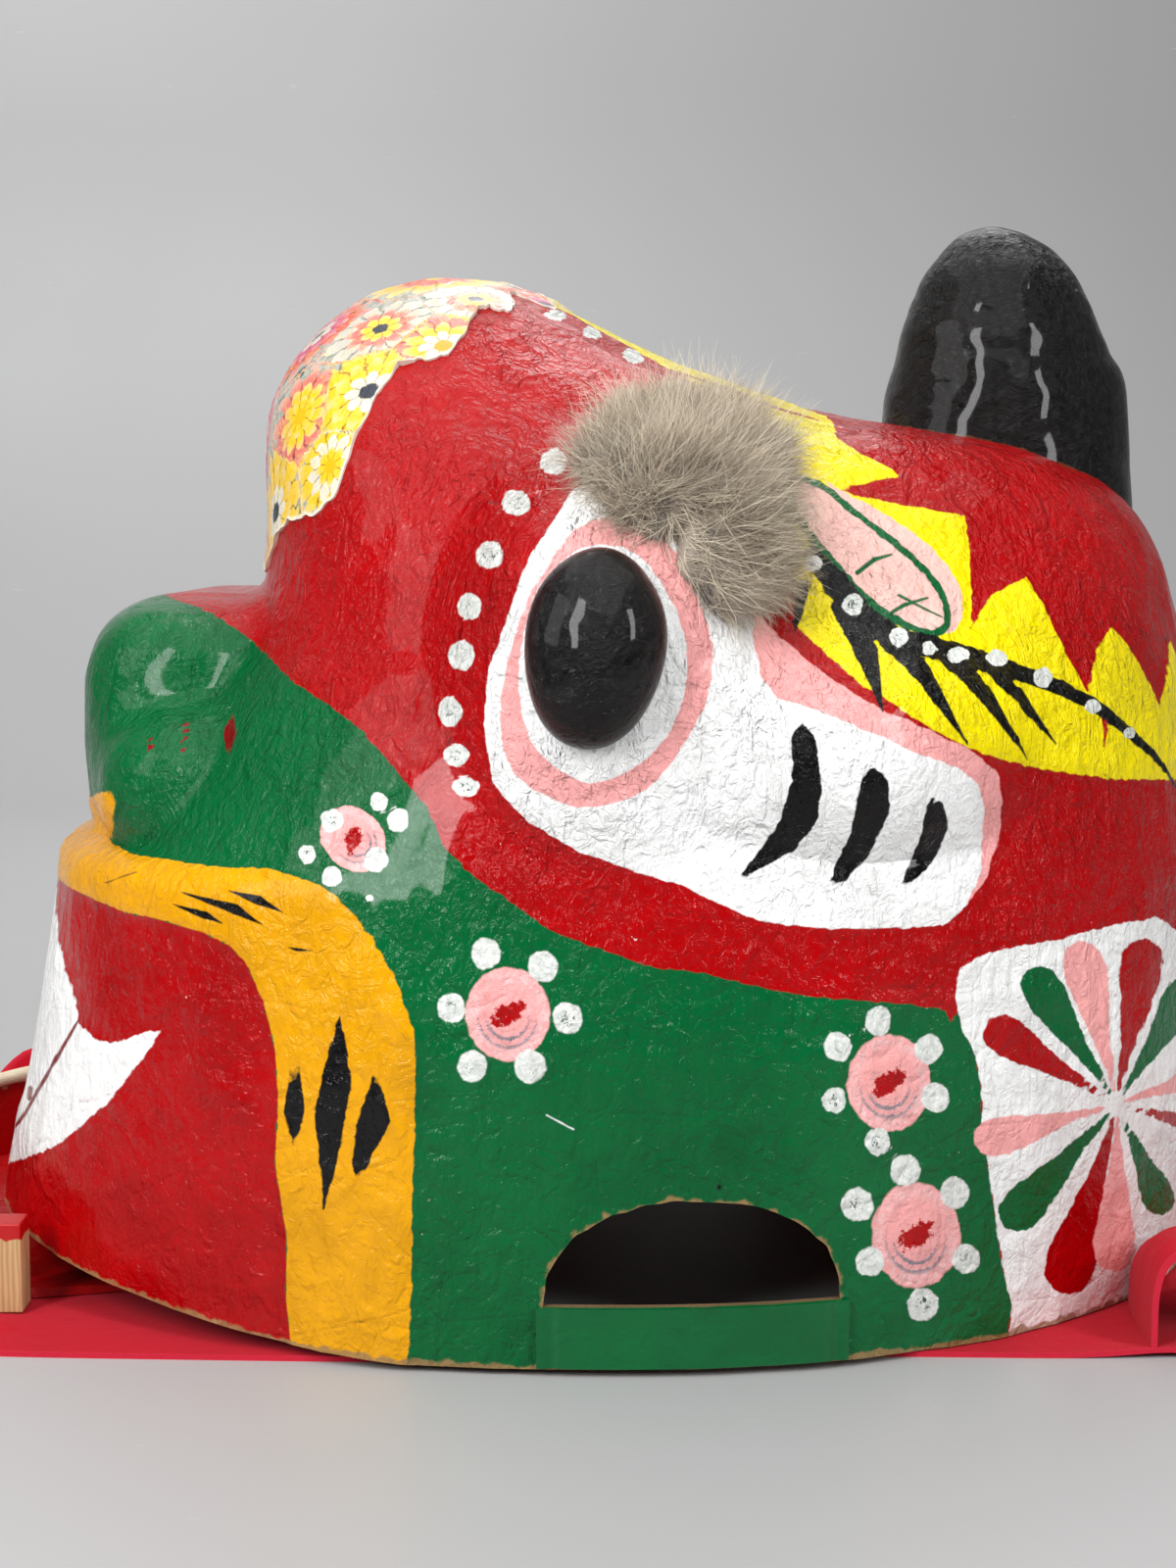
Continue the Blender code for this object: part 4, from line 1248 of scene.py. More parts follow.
LASH_TIPS = (
    ((1062, 696, 6.5), (1111, 718, 6.0), (1148, 746, 5.0), (1175, 772, 3.2), (1203, 806, 0.6)),
    ((884, 668, 11.0), (900, 727, 0.6)),
    ((815, 612, 6.0), (811, 646, 0.6)),
    ((938, 688, 9.0), (984, 760, 0.6)),
    ((1002, 708, 8.0), (1046, 775, 0.6)),
    ((1036, 708, 6.5), (1074, 760, 0.6)),
)
FINE_LINES = (
    (TONGUE_LINES, Pigment.DEEP_RED),
    (RIDGE_LINES, Pigment.RED),
    (LEAF_VEINS, Pigment.GREEN),
    (LASH_TIPS, Pigment.BLACK),
    (LEDGE_MARKS, Pigment.BLACK),
    (WEAR_LINES, Pigment.BLACK),
    (SCRATCHES, Pigment.WHITE),
)
PINWHEEL = (1139.0, 1127.0)
PETALS = {
    "petal_red": ((1003, 1043), (1171, 955), (1290, 1165), (1083, 1324)),
    "petal_green": ((1048, 986), (1222, 995), (1190, 1240), (1023, 1254)),
    "petal_pink": ((1100, 958), (1275, 1080), (1137, 1300), (992, 1167)),
}
# Pink discs: across, down, half-widths, slant, and their white dots.
FLOWERS = (
    (360, 856, 30, 36, -0.75, (
        (339, 837, 11), (386, 818, 9), (406, 836, 11), (383, 877, 12), (339, 895, 10), (314, 872, 9),
        (377, 916, 4),
    )),
    (518, 1035, 43, 48, 0.0, (
        (496, 973, 15), (554, 986, 15), (579, 1039, 15), (541, 1088, 16), (482, 1088, 15),
        (460, 1029, 14),
    )),
    (907, 1105, 43, 49, 0.0, (
        (854, 1068, 14), (896, 1042, 14), (949, 1071, 14), (955, 1120, 14), (895, 1165, 13),
        (851, 1122, 12),
    )),
    (934, 1260, 45, 53, 0.0, (
        (875, 1229, 16), (924, 1194, 15), (974, 1217, 15), (985, 1284, 14), (941, 1331, 16),
        (887, 1287, 14),
    )),
)
# White dots in rows: across, down, half-widths.
DOTS = (
    (565, 472, 14, 13), (527, 514, 14, 13), (501, 567, 14, 14), (479, 619, 12, 13), (471, 669, 13, 15),
    (460, 726, 12, 15), (466, 771, 13, 11), (476, 803, 14, 10), (570, 322, 13, 5), (607, 340, 12, 6),
    (648, 364, 13, 8), (690, 397, 12, 8), (722, 425, 11, 7), (829, 577, 9, 8), (869, 620, 10, 11),
    (915, 654, 9, 10), (946, 665, 7, 7), (975, 670, 11, 8), (1016, 672, 11, 9), (1062, 692, 10, 10),
    (1112, 722, 8, 7), (1150, 748, 6, 6),
)


@dataclass
class Painting:
    """Where each painted region lies: one distance per region, in pixels, positive inside."""

    far: float = 900.0

    def regions(self, place: Array) -> dict[str, Array]:
        """Distances to the outlines.

        Args:
            place: Pixels across and down as rows.

        Returns:
            One array for each region.
        """
        left, right = -self.far, 2200.0
        green = [(left, 1500), (left, 588), (60, 588), (112, 590), *GREEN_EDGE, *PANEL_LEFT]
        under = [*reversed(PANEL_RIGHT), (right, 1010), (right, 1500)]
        amber = [(left, 806), *AMBER_GREEN_SIDE, *reversed(AMBER_RED_SIDE), (left, 872)]
        muzzle = [(left, 872), *AMBER_RED_SIDE, (left, 1500)]
        panel = [*PANEL_TOP[::-1], *reversed(PANEL_RIGHT), *reversed(PANEL_LEFT)]
        found = {
            "green": np.maximum(to_polygon(place, green), to_polygon(place, under)),
            "amber": to_polygon(place, amber),
            "muzzle": to_polygon(place, muzzle),
            "tongue": to_polygon(place, TONGUE),
            "panel": to_polygon(place, panel),
            "yellow": to_polygon(place, YELLOW),
            "eye_white": to_polygon(place, EYE_WHITE),
            "eye_strokes": np.maximum.reduce([to_polygon(place, p) for p in EYE_STROKES]),
            "leaf_pink": to_polygon(place, rounded(LEAF_PINK)),
            "lash": self.strokes(place, LASH),
            "diamonds": np.maximum.reduce([to_polygon(place, p) for p in DIAMONDS]),
            "nose_marks": self.strokes(place, NOSE_MARKS),
        }
        found["eye_pink"] = to_polygon(place, EYE_PINK)
        outer, inner = to_polygon(place, rounded(RING_OUTER)), to_polygon(place, rounded(RING_INNER))
        found["eye_ring"] = np.minimum(outer, -inner)
        found["leaf"] = to_polygon(place, rounded(LEAF))
        found["leaf_inside"] = found["leaf"] - 8.0
        for name, tips in PETALS.items():
            found[name] = np.maximum.reduce([self.petal(place, tip) for tip in tips])
        return {name: np.clip(values, -80.0, 80.0) for name, values in found.items()}

    @staticmethod
    def strokes(place: Array, spines: Sequence) -> Array:
        """Distance into any of several brush strokes."""
        return np.maximum.reduce([to_stroke(place, spine) for spine in spines])

    @staticmethod
    def petal(place: Array, tip: Pixel) -> Array:
        """Distance into one petal of the wheel, widest near its tip."""
        middle = np.array(PINWHEEL)
        run = np.array(tip, float) - middle
        reach = float(np.linalg.norm(run))
        shares = ((0.07, 1.5), (0.35, 7.0), (0.6, 15.0), (0.78, 21.0), (0.86, 20.0))
        scale = reach / 165.0
        spine = [(*(middle + run * share), width * scale) for share, width in shares]
        return to_stroke(place, spine)

    @staticmethod
    def spot(place: Array, spots: Sequence[tuple[float, float, float, float, float]]) -> Array:
        """Coordinates inside the nearest of several spots, 1 at its edge.

        Args:
            place: Pixels across and down as rows.
            spots: Middle, half-widths and slant of each spot.

        Returns:
            Rows of two coordinates, the spot's half-width in pixels and the distance.
        """
        best = np.full(len(place), 1e9)
        found = np.tile(np.array([4.0, 4.0, 20.0, 4.0]), (len(place), 1))
        for across, down, half_u, half_v, slant in spots:
            rel = place - np.array([across, down])
            c, s = math.cos(slant), math.sin(slant)
            u = (rel[:, 0] * c + rel[:, 1] * s) / half_u
            v = (rel[:, 1] * c - rel[:, 0] * s) / half_v
            radius = np.hypot(u, v)
            limit = 1.0 + 22.0 / min(half_u, half_v)
            near = (radius < best) & (radius < limit)
            found[near] = np.stack([u, v, np.full_like(u, min(half_u, half_v)), radius], -1)[near]
            best = np.where(near, radius, best)
        return found

    def spots(self, place: Array) -> dict[str, Array]:
        """Coordinates for the pink discs and for the white dots."""
        discs = [flower[:5] for flower in FLOWERS]
        dots = [(u, v, half, half_v, 0.0) for u, v, half, half_v in DOTS]
        dots += [(u, v, half, 1.08 * half, 0.0) for flower in FLOWERS for u, v, half in flower[5]]
        disc, dot = self.spot(place, discs), self.spot(place, dots)
        return {"disc": disc[:, :3], "disc_reach": disc[:, 3], "dot": dot[:, :3], "dot_reach": dot[:, 3]}


def to_object(name: str, mesh: Mesh, *materials: Finish) -> Piece:
    """Shows a mesh as an object at the origin.

    Args:
        name: The object's name.
        mesh: Its mesh, in place.
        *materials: Its finishes.

    Returns:
        The object.
    """
    shown = bpy.data.objects.new(name, mesh)
    bpy.context.scene.collection.objects.link(shown)
    mesh.materials.clear()
    for material in materials:
        mesh.materials.append(material)
    return shown


def freeze(shown: Piece) -> Piece:
    """Turns an object with its modifiers into a plain mesh.

    Args:
        shown: The object.

    Returns:
        The same object.
    """
    graph = bpy.context.evaluated_depsgraph_get()
    graph.update()
    solid = bpy.data.meshes.new_from_object(shown.evaluated_get(graph), depsgraph=graph)
    solid.name = shown.name
    shown.modifiers.clear()
    shown.data = solid
    return shown


def store(mesh: Mesh, name: str, values: Array) -> None:
    """Keeps a number or a vector on each vertex.

    Args:
        mesh: The mesh.
        name: The attribute's name.
        values: One number or row of three for each vertex.
    """
    values = np.asarray(values, np.float32)
    if values.ndim == 1:
        mesh.attributes.new(name, "FLOAT", "POINT").data.foreach_set("value", values)
    else:
        mesh.attributes.new(name, "FLOAT_VECTOR", "POINT").data.foreach_set("vector", values.ravel())


def corners_of(mesh: Mesh) -> Array:
    """A mesh's vertices in millimetres."""
    flat = np.empty(len(mesh.vertices) * 3, np.float32)
    mesh.vertices.foreach_get("co", flat)
    return flat.reshape(-1, 3).astype(float) / MM


def smooth(shown: Piece, sharp: float = 40.0) -> Piece:
    """Smooth shading with edges sharper than an angle in degrees kept.

    Args:
        shown: The object.
        sharp: The angle.

    Returns:
        The same object.
    """
    shown.data.shade_smooth()
    shown.data.set_sharp_from_angle(angle=math.radians(sharp))
    return shown


@dataclass
class Weave:
    """Collects vertices and faces of one piece, in millimetres."""

    points: list = field(default_factory=list)
    faces: list = field(default_factory=list)
    finishes: list = field(default_factory=list)

    def row(self, points: Array) -> Array:
        """Stores points and gives their numbers.

        Args:
            points: Points as rows.

        Returns:
            The vertex numbers.
        """
        first = sum(len(p) for p in self.points)
        points = np.asarray(points, float).reshape(-1, 3)
        self.points.append(points)
        return np.arange(first, first + len(points))

    def face(self, corners: Sequence[int], finish: int = 0) -> None:
        """Stores one face."""
        self.faces.append(tuple(int(c) for c in corners))
        self.finishes.append(finish)

    def strip(self, lower: Array, upper: Array, closed: bool = True, finish: int = 0) -> None:
        """Quads between two rows of equal length.

        Args:
            lower: One row's numbers.
            upper: The other row's numbers.
            closed: Whether the rows are rings.
            finish: Number of the finish.
        """
        count = len(lower)
        for i in range(count if closed else count - 1):
            j = (i + 1) % count
            self.face((lower[i], lower[j], upper[j], upper[i]), finish)

    def fan(self, ring: Array, tip: int, finish: int = 0) -> None:
        """Triangles from a ring to one point."""
        for i in range(len(ring)):
            self.face((ring[i], ring[(i + 1) % len(ring)], tip), finish)

    def tube(self, rings: Sequence[Array], closed: bool = True, finish: int = 0) -> None:
        """Quads between each row and the next."""
        for low, high in zip(rings[:-1], rings[1:]):
            self.strip(low, high, closed, finish)

    def mesh(self, name: str) -> Mesh:
        """Makes the mesh, with its faces turned outwards.

        Args:
            name: Its name.

        Returns:
            The mesh, in metres.
        """
        made = bpy.data.meshes.new(name)
        made.from_pydata((np.concatenate(self.points) * MM).tolist(), [], self.faces)
        made.polygons.foreach_set("material_index", np.array(self.finishes, np.int32))
        work = bmesh.new()
        work.from_mesh(made)
        bmesh.ops.recalc_face_normals(work, faces=work.faces)
        if work.calc_volume(signed=True) < 0.0:
            bmesh.ops.reverse_faces(work, faces=work.faces)
        work.to_mesh(made)
        work.free()
        made.update()
        return made

    def piece(self, name: str, finish: Finish, sharp: float = 60.0) -> Piece:
        """Shows the mesh as an object with smooth shading.

        Args:
            name: Its name.
            finish: Its finish.
            sharp: Angle above which an edge stays sharp, in degrees.

        Returns:
            The object.
        """
        return smooth(to_object(name, self.mesh(name), finish), sharp)


@dataclass
class HeadShell:
    """The hollow head with its painted relief and its two half-moon openings."""

    form: HeadForm
    camera: PhotoCamera
    painting: Painting
    around: int = 416
    rows: int = 186
    inner_step: int = 4
    inner_rows: int = 46
    last_row: float = 15.4
    opening_y: float = 28.5
    opening_half: float = 49.0
    sill_z: float = 24.0
    rise: float = 36.0
    seat: BVHTree | None = None

    # Height of each region over the skin, in millimetres, and the width of its edge in pixels.
    relief: tuple[tuple[str, float, float], ...] = (
        ("yellow", 0.7, 9.0),
        ("amber", 1.1, 10.0),
        ("eye_white", 0.5, 8.0),
        ("eye_ring", -0.4, 10.0),
        ("leaf", 1.4, 10.0),
        ("lash", 0.3, 5.0),
        ("tongue", 0.4, 6.0),
    )

    def angles(self) -> Array:
        """Angles round the head at even distances along its middle height."""
        fine = np.linspace(0.0, math.pi, 2001)
        length = np.zeros(len(fine))
        for t in (1.0, 4.0, 7.0):
            points = self.form.skin(fine, np.full(len(fine), t))
            length[1:] += np.cumsum(np.linalg.norm(np.diff(points, axis=0), axis=1))
        half = np.interp(np.linspace(0.0, length[-1], self.around // 2 + 1), length, fine)
        return np.concatenate([half, TAU - half[-2:0:-1]])

    def row_places(self, count: int) -> Array:
        """Row positions at even distances up the side."""
        fine = np.linspace(0.0, self.last_row, 1201)
        length = np.zeros(len(fine))
        for angle in (0.05, 0.9, 1.5, 2.2):
            points = self.form.skin(np.full(len(fine), angle), fine)
            length[1:] += np.cumsum(np.linalg.norm(np.diff(points, axis=0), axis=1))
        return np.interp(np.linspace(0.0, length[-1], count), length, fine)

    def unrolled(self, points: Array, normals: Array) -> Array:
        """Pixels of the picture, carried on round the muzzle and the back.

        Args:
            points: Grid of points, rows by half the circumference from front to back.
            normals: Their normals.

        Returns:
            Grid of pixels across and down.
        """
        across, down, depth = self.camera.project(points)
        sight = self.camera.eye() - points
        facing = np.sum(normals * sight, -1) / np.linalg.norm(sight, axis=-1)
        scale = self.camera.focal_px / depth
        out = across.copy()
        rows, count = across.shape
        start = np.array([np.argmax(facing[k] > 0.06) for k in range(rows)], float)
        kernel = np.exp(-0.5 * (np.arange(-12, 13) / 5.0) ** 2)
        padded = np.pad(start, 12, mode="edge")
        start = np.convolve(padded, kernel / kernel.sum(), mode="valid")
        step = np.linalg.norm(np.diff(points, axis=1), axis=-1)
        for k in range(rows):
            for j in range(count // 2, -1, -1):
                hidden = smooth_step((start[k] - j) / 10.0)
                if hidden > 0.0:
                    seen = across[k, j] - across[k, j + 1]
                    unseen = scale[k, j] * step[k, j]
                    out[k, j] = out[k, j + 1] + (1.0 - hidden) * seen - hidden * unseen
            for j in range(count // 2, count):
                hidden = smooth_step((0.3 - facing[k, j]) / 0.3)
                if hidden > 0.0:
                    seen = across[k, j] - across[k, j - 1]
                    unseen = scale[k, j] * step[k, j - 1]
                    out[k, j] = out[k, j - 1] + (1.0 - hidden) * seen + hidden * unseen
        return np.stack([out, down], -1)

    def raise_relief(self, points: Array, fields: dict[str, Array]) -> Array:
        """Height of pasted layers and wrinkles over the skin.

        Args:
            points: Points of the smooth skin.
            fields: The painted regions' distances.

        Returns:
            Heights in millimetres.
        """
        height = np.zeros(len(points))
        for region, lift, width in self.relief:
            height += lift * smooth_step(0.5 + fields[region] / width)
        coarse, fine = Lattice(3), Lattice(7)
        height += 0.75 * coarse.at(points, 34.0) + 0.4 * fine.at(points, 13.0)
        crease = 1.0 - np.abs(Lattice(11).at(points * np.array([1.0, 1.0, 0.6]), 21.0)) * 3.0
        height += 0.55 * np.clip(crease, 0.0, 1.0)
        return height

    def build(self, paint: Finish, inside: Finish, raw: Finish) -> Piece:
        """Makes the shell.

        Args:
            paint: Finish of the outside.
            inside: Finish of the inside.
            raw: Finish of the cut edges.

        Returns:
            The shell's object.
        """
        form, weave = self.form, Weave()
        angles, places = self.angles(), self.row_places(self.rows)
        half = self.around // 2 + 1
        grid_a, grid_t = np.meshgrid(angles[:half], places)
        skin, normal = form.skin(grid_a, grid_t), form.normal(grid_a, grid_t)
        place = self.unrolled(skin, normal)
        mirror = np.array([-1.0, 1.0, 1.0])
        turned = slice(half - 2, 0, -1)
        skin = np.concatenate([skin, skin[:, turned] * mirror], 1).reshape(-1, 3)
        normal = np.concatenate([normal, normal[:, turned] * mirror], 1).reshape(-1, 3)
        place = np.concatenate([place, place[:, turned]], 1).reshape(-1, 2)
        fields = self.painting.regions(place)
        fields["rim"] = np.repeat(np.arange(self.rows) * 2.0, self.around)
        spots = self.painting.spots(place)
        spots["picture"] = np.column_stack([place, np.zeros(len(place))])
        outside = skin + normal * self.raise_relief(skin, fields)[:, None]
        outside[: self.around, 2] = np.maximum(outside[: self.around, 2], form.rim_z)
        rings = weave.row(outside).reshape(self.rows, self.around)
        weave.tube(rings)
        crown = form.skin(np.array([0.0]), np.array([float(form.crown)]))
        weave.fan(rings[-1], int(weave.row(crown)[0]))
        inner_angles = angles[:: self.inner_step]
        inner = []
        for t in self.row_places(self.inner_rows):
            t_row = np.full(len(inner_angles), t)
            points = form.skin(inner_angles, t_row) - form.wall * form.normal(inner_angles, t_row)
            if t == 0.0:
                points[:, 2] = outside[: self.around : self.inner_step, 2]
            inner.append(weave.row(points))
        for low, high in zip(inner[:-1], inner[1:]):
            weave.strip(high, low, finish=1)
        weave.fan(inner[-1][::-1], int(weave.row(crown - np.array([[0.0, 0.0, form.wall]]))[0]), 1)
        self.close_rim(weave, rings[0], inner[0])
        shell = to_object("painted_head", weave.mesh("painted_head"), paint, inside, raw)
        self.take_seat(shell)
        for side in Side:
            self.cut_opening(shell, side, raw)
        freeze(shell)
        for cutter in [o for o in bpy.data.objects if o.name.startswith("opening_cutter")]:
            bpy.data.objects.remove(cutter)
        self.carry(shell, outside, {**fields, **spots})
        return smooth(shell, 50.0)

    def close_rim(self, weave: Weave, outer: Array, inner: Array) -> None:
        """Closes the underside between the fine outer and the coarse inner ring."""
        step, count = self.inner_step, len(inner)
        for k in range(count):
            run = [outer[(k * step + i) % self.around] for i in range(step + 1)]
            weave.face([*run, inner[(k + 1) % count], inner[k]], 2)

    def take_seat(self, shell: Piece) -> None:
        """Keeps the uncut shell as the surface on which pieces are set."""
        faces = [tuple(p.vertices) for p in shell.data.polygons]
        self.seat = BVHTree.FromPolygons([v.co / MM for v in shell.data.vertices], faces)

    def drop(self, points: Array, normals: Array, lift: float | Array) -> Array:
        """Sets points at a height over the finished surface.

        Args:
            points: Points near the surface.
            normals: Directions along which they are moved.
            lift: Heights in millimetres.

        Returns:
            The moved points.
        """
        seated = []
        for point, normal in zip(points, normals):
            hit = self.seat.ray_cast(Vector(point + normal * 30.0), Vector(-normal))[0]
            seated.append(np.array(hit) if hit is not None else point)
        return np.array(seated) + normals * np.broadcast_to(lift, len(points))[:, None]

    def cut_opening(self, shell: Piece, side: Side, raw: Finish) -> None:
        """Cuts one half-moon through the wall, with a hand-cut edge."""
        weave = Weave()
        turn = np.linspace(0.0, math.pi, 61)
        y, z = self.arch(turn)
        ends = [weave.row(np.stack([np.full(61, side.value * x), y, z], -1)) for x in (150.0, 225.0)]
        weave.strip(ends[0], ends[1])
        weave.face(ends[0][::-1])
        weave.face(ends[1])
        name = f"opening_cutter_{side.word}"
        cutter = to_object(name, weave.mesh(name), raw)
        cut = shell.modifiers.new(name, "BOOLEAN")
        cut.operation = "DIFFERENCE"
        cut.solver = "EXACT"
        cut.material_mode = "TRANSFER"
        cut.object = cutter

    def carry(self, shell: Piece, outside: Array, fields: dict[str, Array]) -> None:
        """Stores the painted regions on the cut shell's vertices.

        Args:
            shell: The shell.
            outside: Vertices of the outside before the cut.
            fields: Their distances, and their places inside discs and dots.
        """
        corners = corners_of(shell.data)
        pick = nearest(outside, corners)
        for name, values in fields.items():
            values = values[pick]
            if name == "rim":
                values = np.minimum(values, 1.0 + 0.6 * self.cut_gap(corners))
            store(shell.data, name, values)

    def cut_gap(self, corners: Array) -> Array:
        """Distance from the openings' arches.

        Args:
            corners: Vertices in millimetres.

        Returns:
            Millimetres, measured in the side view.
        """
        y, z = self.arch(np.linspace(0.0, math.pi, 61))
        line = np.stack([y, z], -1)
        gap = np.full(len(corners), 60.0)
        close = np.flatnonzero((np.abs(corners[:, 0]) > 150.0) & (corners[:, 2] < 95.0))
        here = corners[close][:, 1:]
        for start, end in zip(line[:-1], line[1:]):
            gap[close] = np.minimum(gap[close], to_segment(here, start, end)[1])
        return gap

    def arch(self, turn: Array) -> tuple[Array, Array]:
        """Outline of an opening, cut by hand."""
        shake = 0.5 * Lattice(21).at(np.stack([turn * 9.0, turn * 0.0, turn * 0.0], -1), 1.0)
        y = self.opening_y - (self.opening_half + shake) * np.cos(turn)
        return y, self.sill_z + (self.rise + shake) * np.sin(turn) ** 0.85


@dataclass
class Dome:
    """A cap that follows the side of the head inside an outline seen from the side."""

    shell: HeadShell
    sectors: int
    rings: int

    def grid(self, outline: Callable[[Array], tuple], side: Side) -> tuple[Array, Array, Array]:
        """Points of the head under the outline, centre first and then ring by ring.

        Args:
            outline: Gives edge y and z and middle y and z for angles.
            side: Side of the head.

        Returns:
            Points, normals and each point's share of the way to the edge.
        """
        turn = np.arange(self.sectors) / self.sectors * TAU
        edge_y, edge_z, mid_y, mid_z = outline(turn)
        targets, share = [(mid_y, mid_z)], [0.0]
        for r in np.sin(np.linspace(0.0, 0.5 * math.pi, self.rings + 1)[1:]):
            targets.extend(zip(mid_y + (edge_y - mid_y) * r, mid_z + (edge_z - mid_z) * r))
            share.extend([r] * self.sectors)
        a, t = self.shell.form.find(np.array(targets), (1, 2))
        points, normals = self.shell.form.skin(a, t), self.shell.form.normal(a, t)
        return points * side.mirror, normals * side.mirror, np.array(share)

    def weave(self, points: Array, weave: Weave) -> Array:
        """Skins the grid with faces.

        Args:
            points: Centre first, then ring by ring.
            weave: Where they are stored.

        Returns:
            The numbers of the rings.
        """
        numbers = weave.row(points)
        rings = numbers[1:].reshape(self.rings, self.sectors)
        weave.fan(rings[0], int(numbers[0]))
        weave.tube(rings)
        return rings

    def close(self, high: Array, low: Array) -> Weave:
        """A closed cap between two grids.

        Args:
            high: Points of the outside.
            low: Points of the underside.

        Returns:
            The cap's points and faces.
        """
        weave = Weave()
        top, bottom = self.weave(high, weave), self.weave(low, weave)
        weave.strip(top[-1], bottom[-1])
        return weave


@dataclass
class Eyeball:
    """Black varnished bulge that stands on the painted eye."""

    shell: HeadShell
    y: float = -3.5
    z: float = 239.0
    half_y: float = 21.5
    half_z: float = 31.5
    tilt: float = math.radians(7.0)
    bulge: float = 15.0
    sink: float = 1.6

    def outline(self, turn: Array) -> tuple:
        """Oval that leans back a little at its top."""
        shake = 1.0 + 0.012 * np.sin(3.0 * turn + 0.6) + 0.008 * np.sin(5.0 * turn)
        u, v = self.half_y * np.cos(turn) * shake, self.half_z * np.sin(turn) * shake
        y = self.y + u * math.cos(self.tilt) + v * math.sin(self.tilt)
        z = self.z - u * math.sin(self.tilt) + v * math.cos(self.tilt)
        return y, z, self.y, self.z

    def build(self, side: Side, black: Finish) -> Piece:
        """Makes one eye.

        Args:
            side: Side of the head.
            black: Its finish.

        Returns:
            The eye's object.
        """
        dome = Dome(self.shell, 72, 26)
        points, normals, share = dome.grid(self.outline, side)
        low = self.shell.drop(points, normals, -0.8)
        ripple = 0.45 * Lattice(31).at(points, 14.0) + 0.3 * Lattice(33).at(points, 6.0)
        height = (self.sink + self.bulge) * np.sqrt(np.clip(1.0 - share**2, 0.0, 1.0))
        high = low + normals * (height + ripple * (1.0 - share**4) + 0.9)[:, None]
        return dome.close(high, low).piece(f"varnished_eye_{side.word}", black)


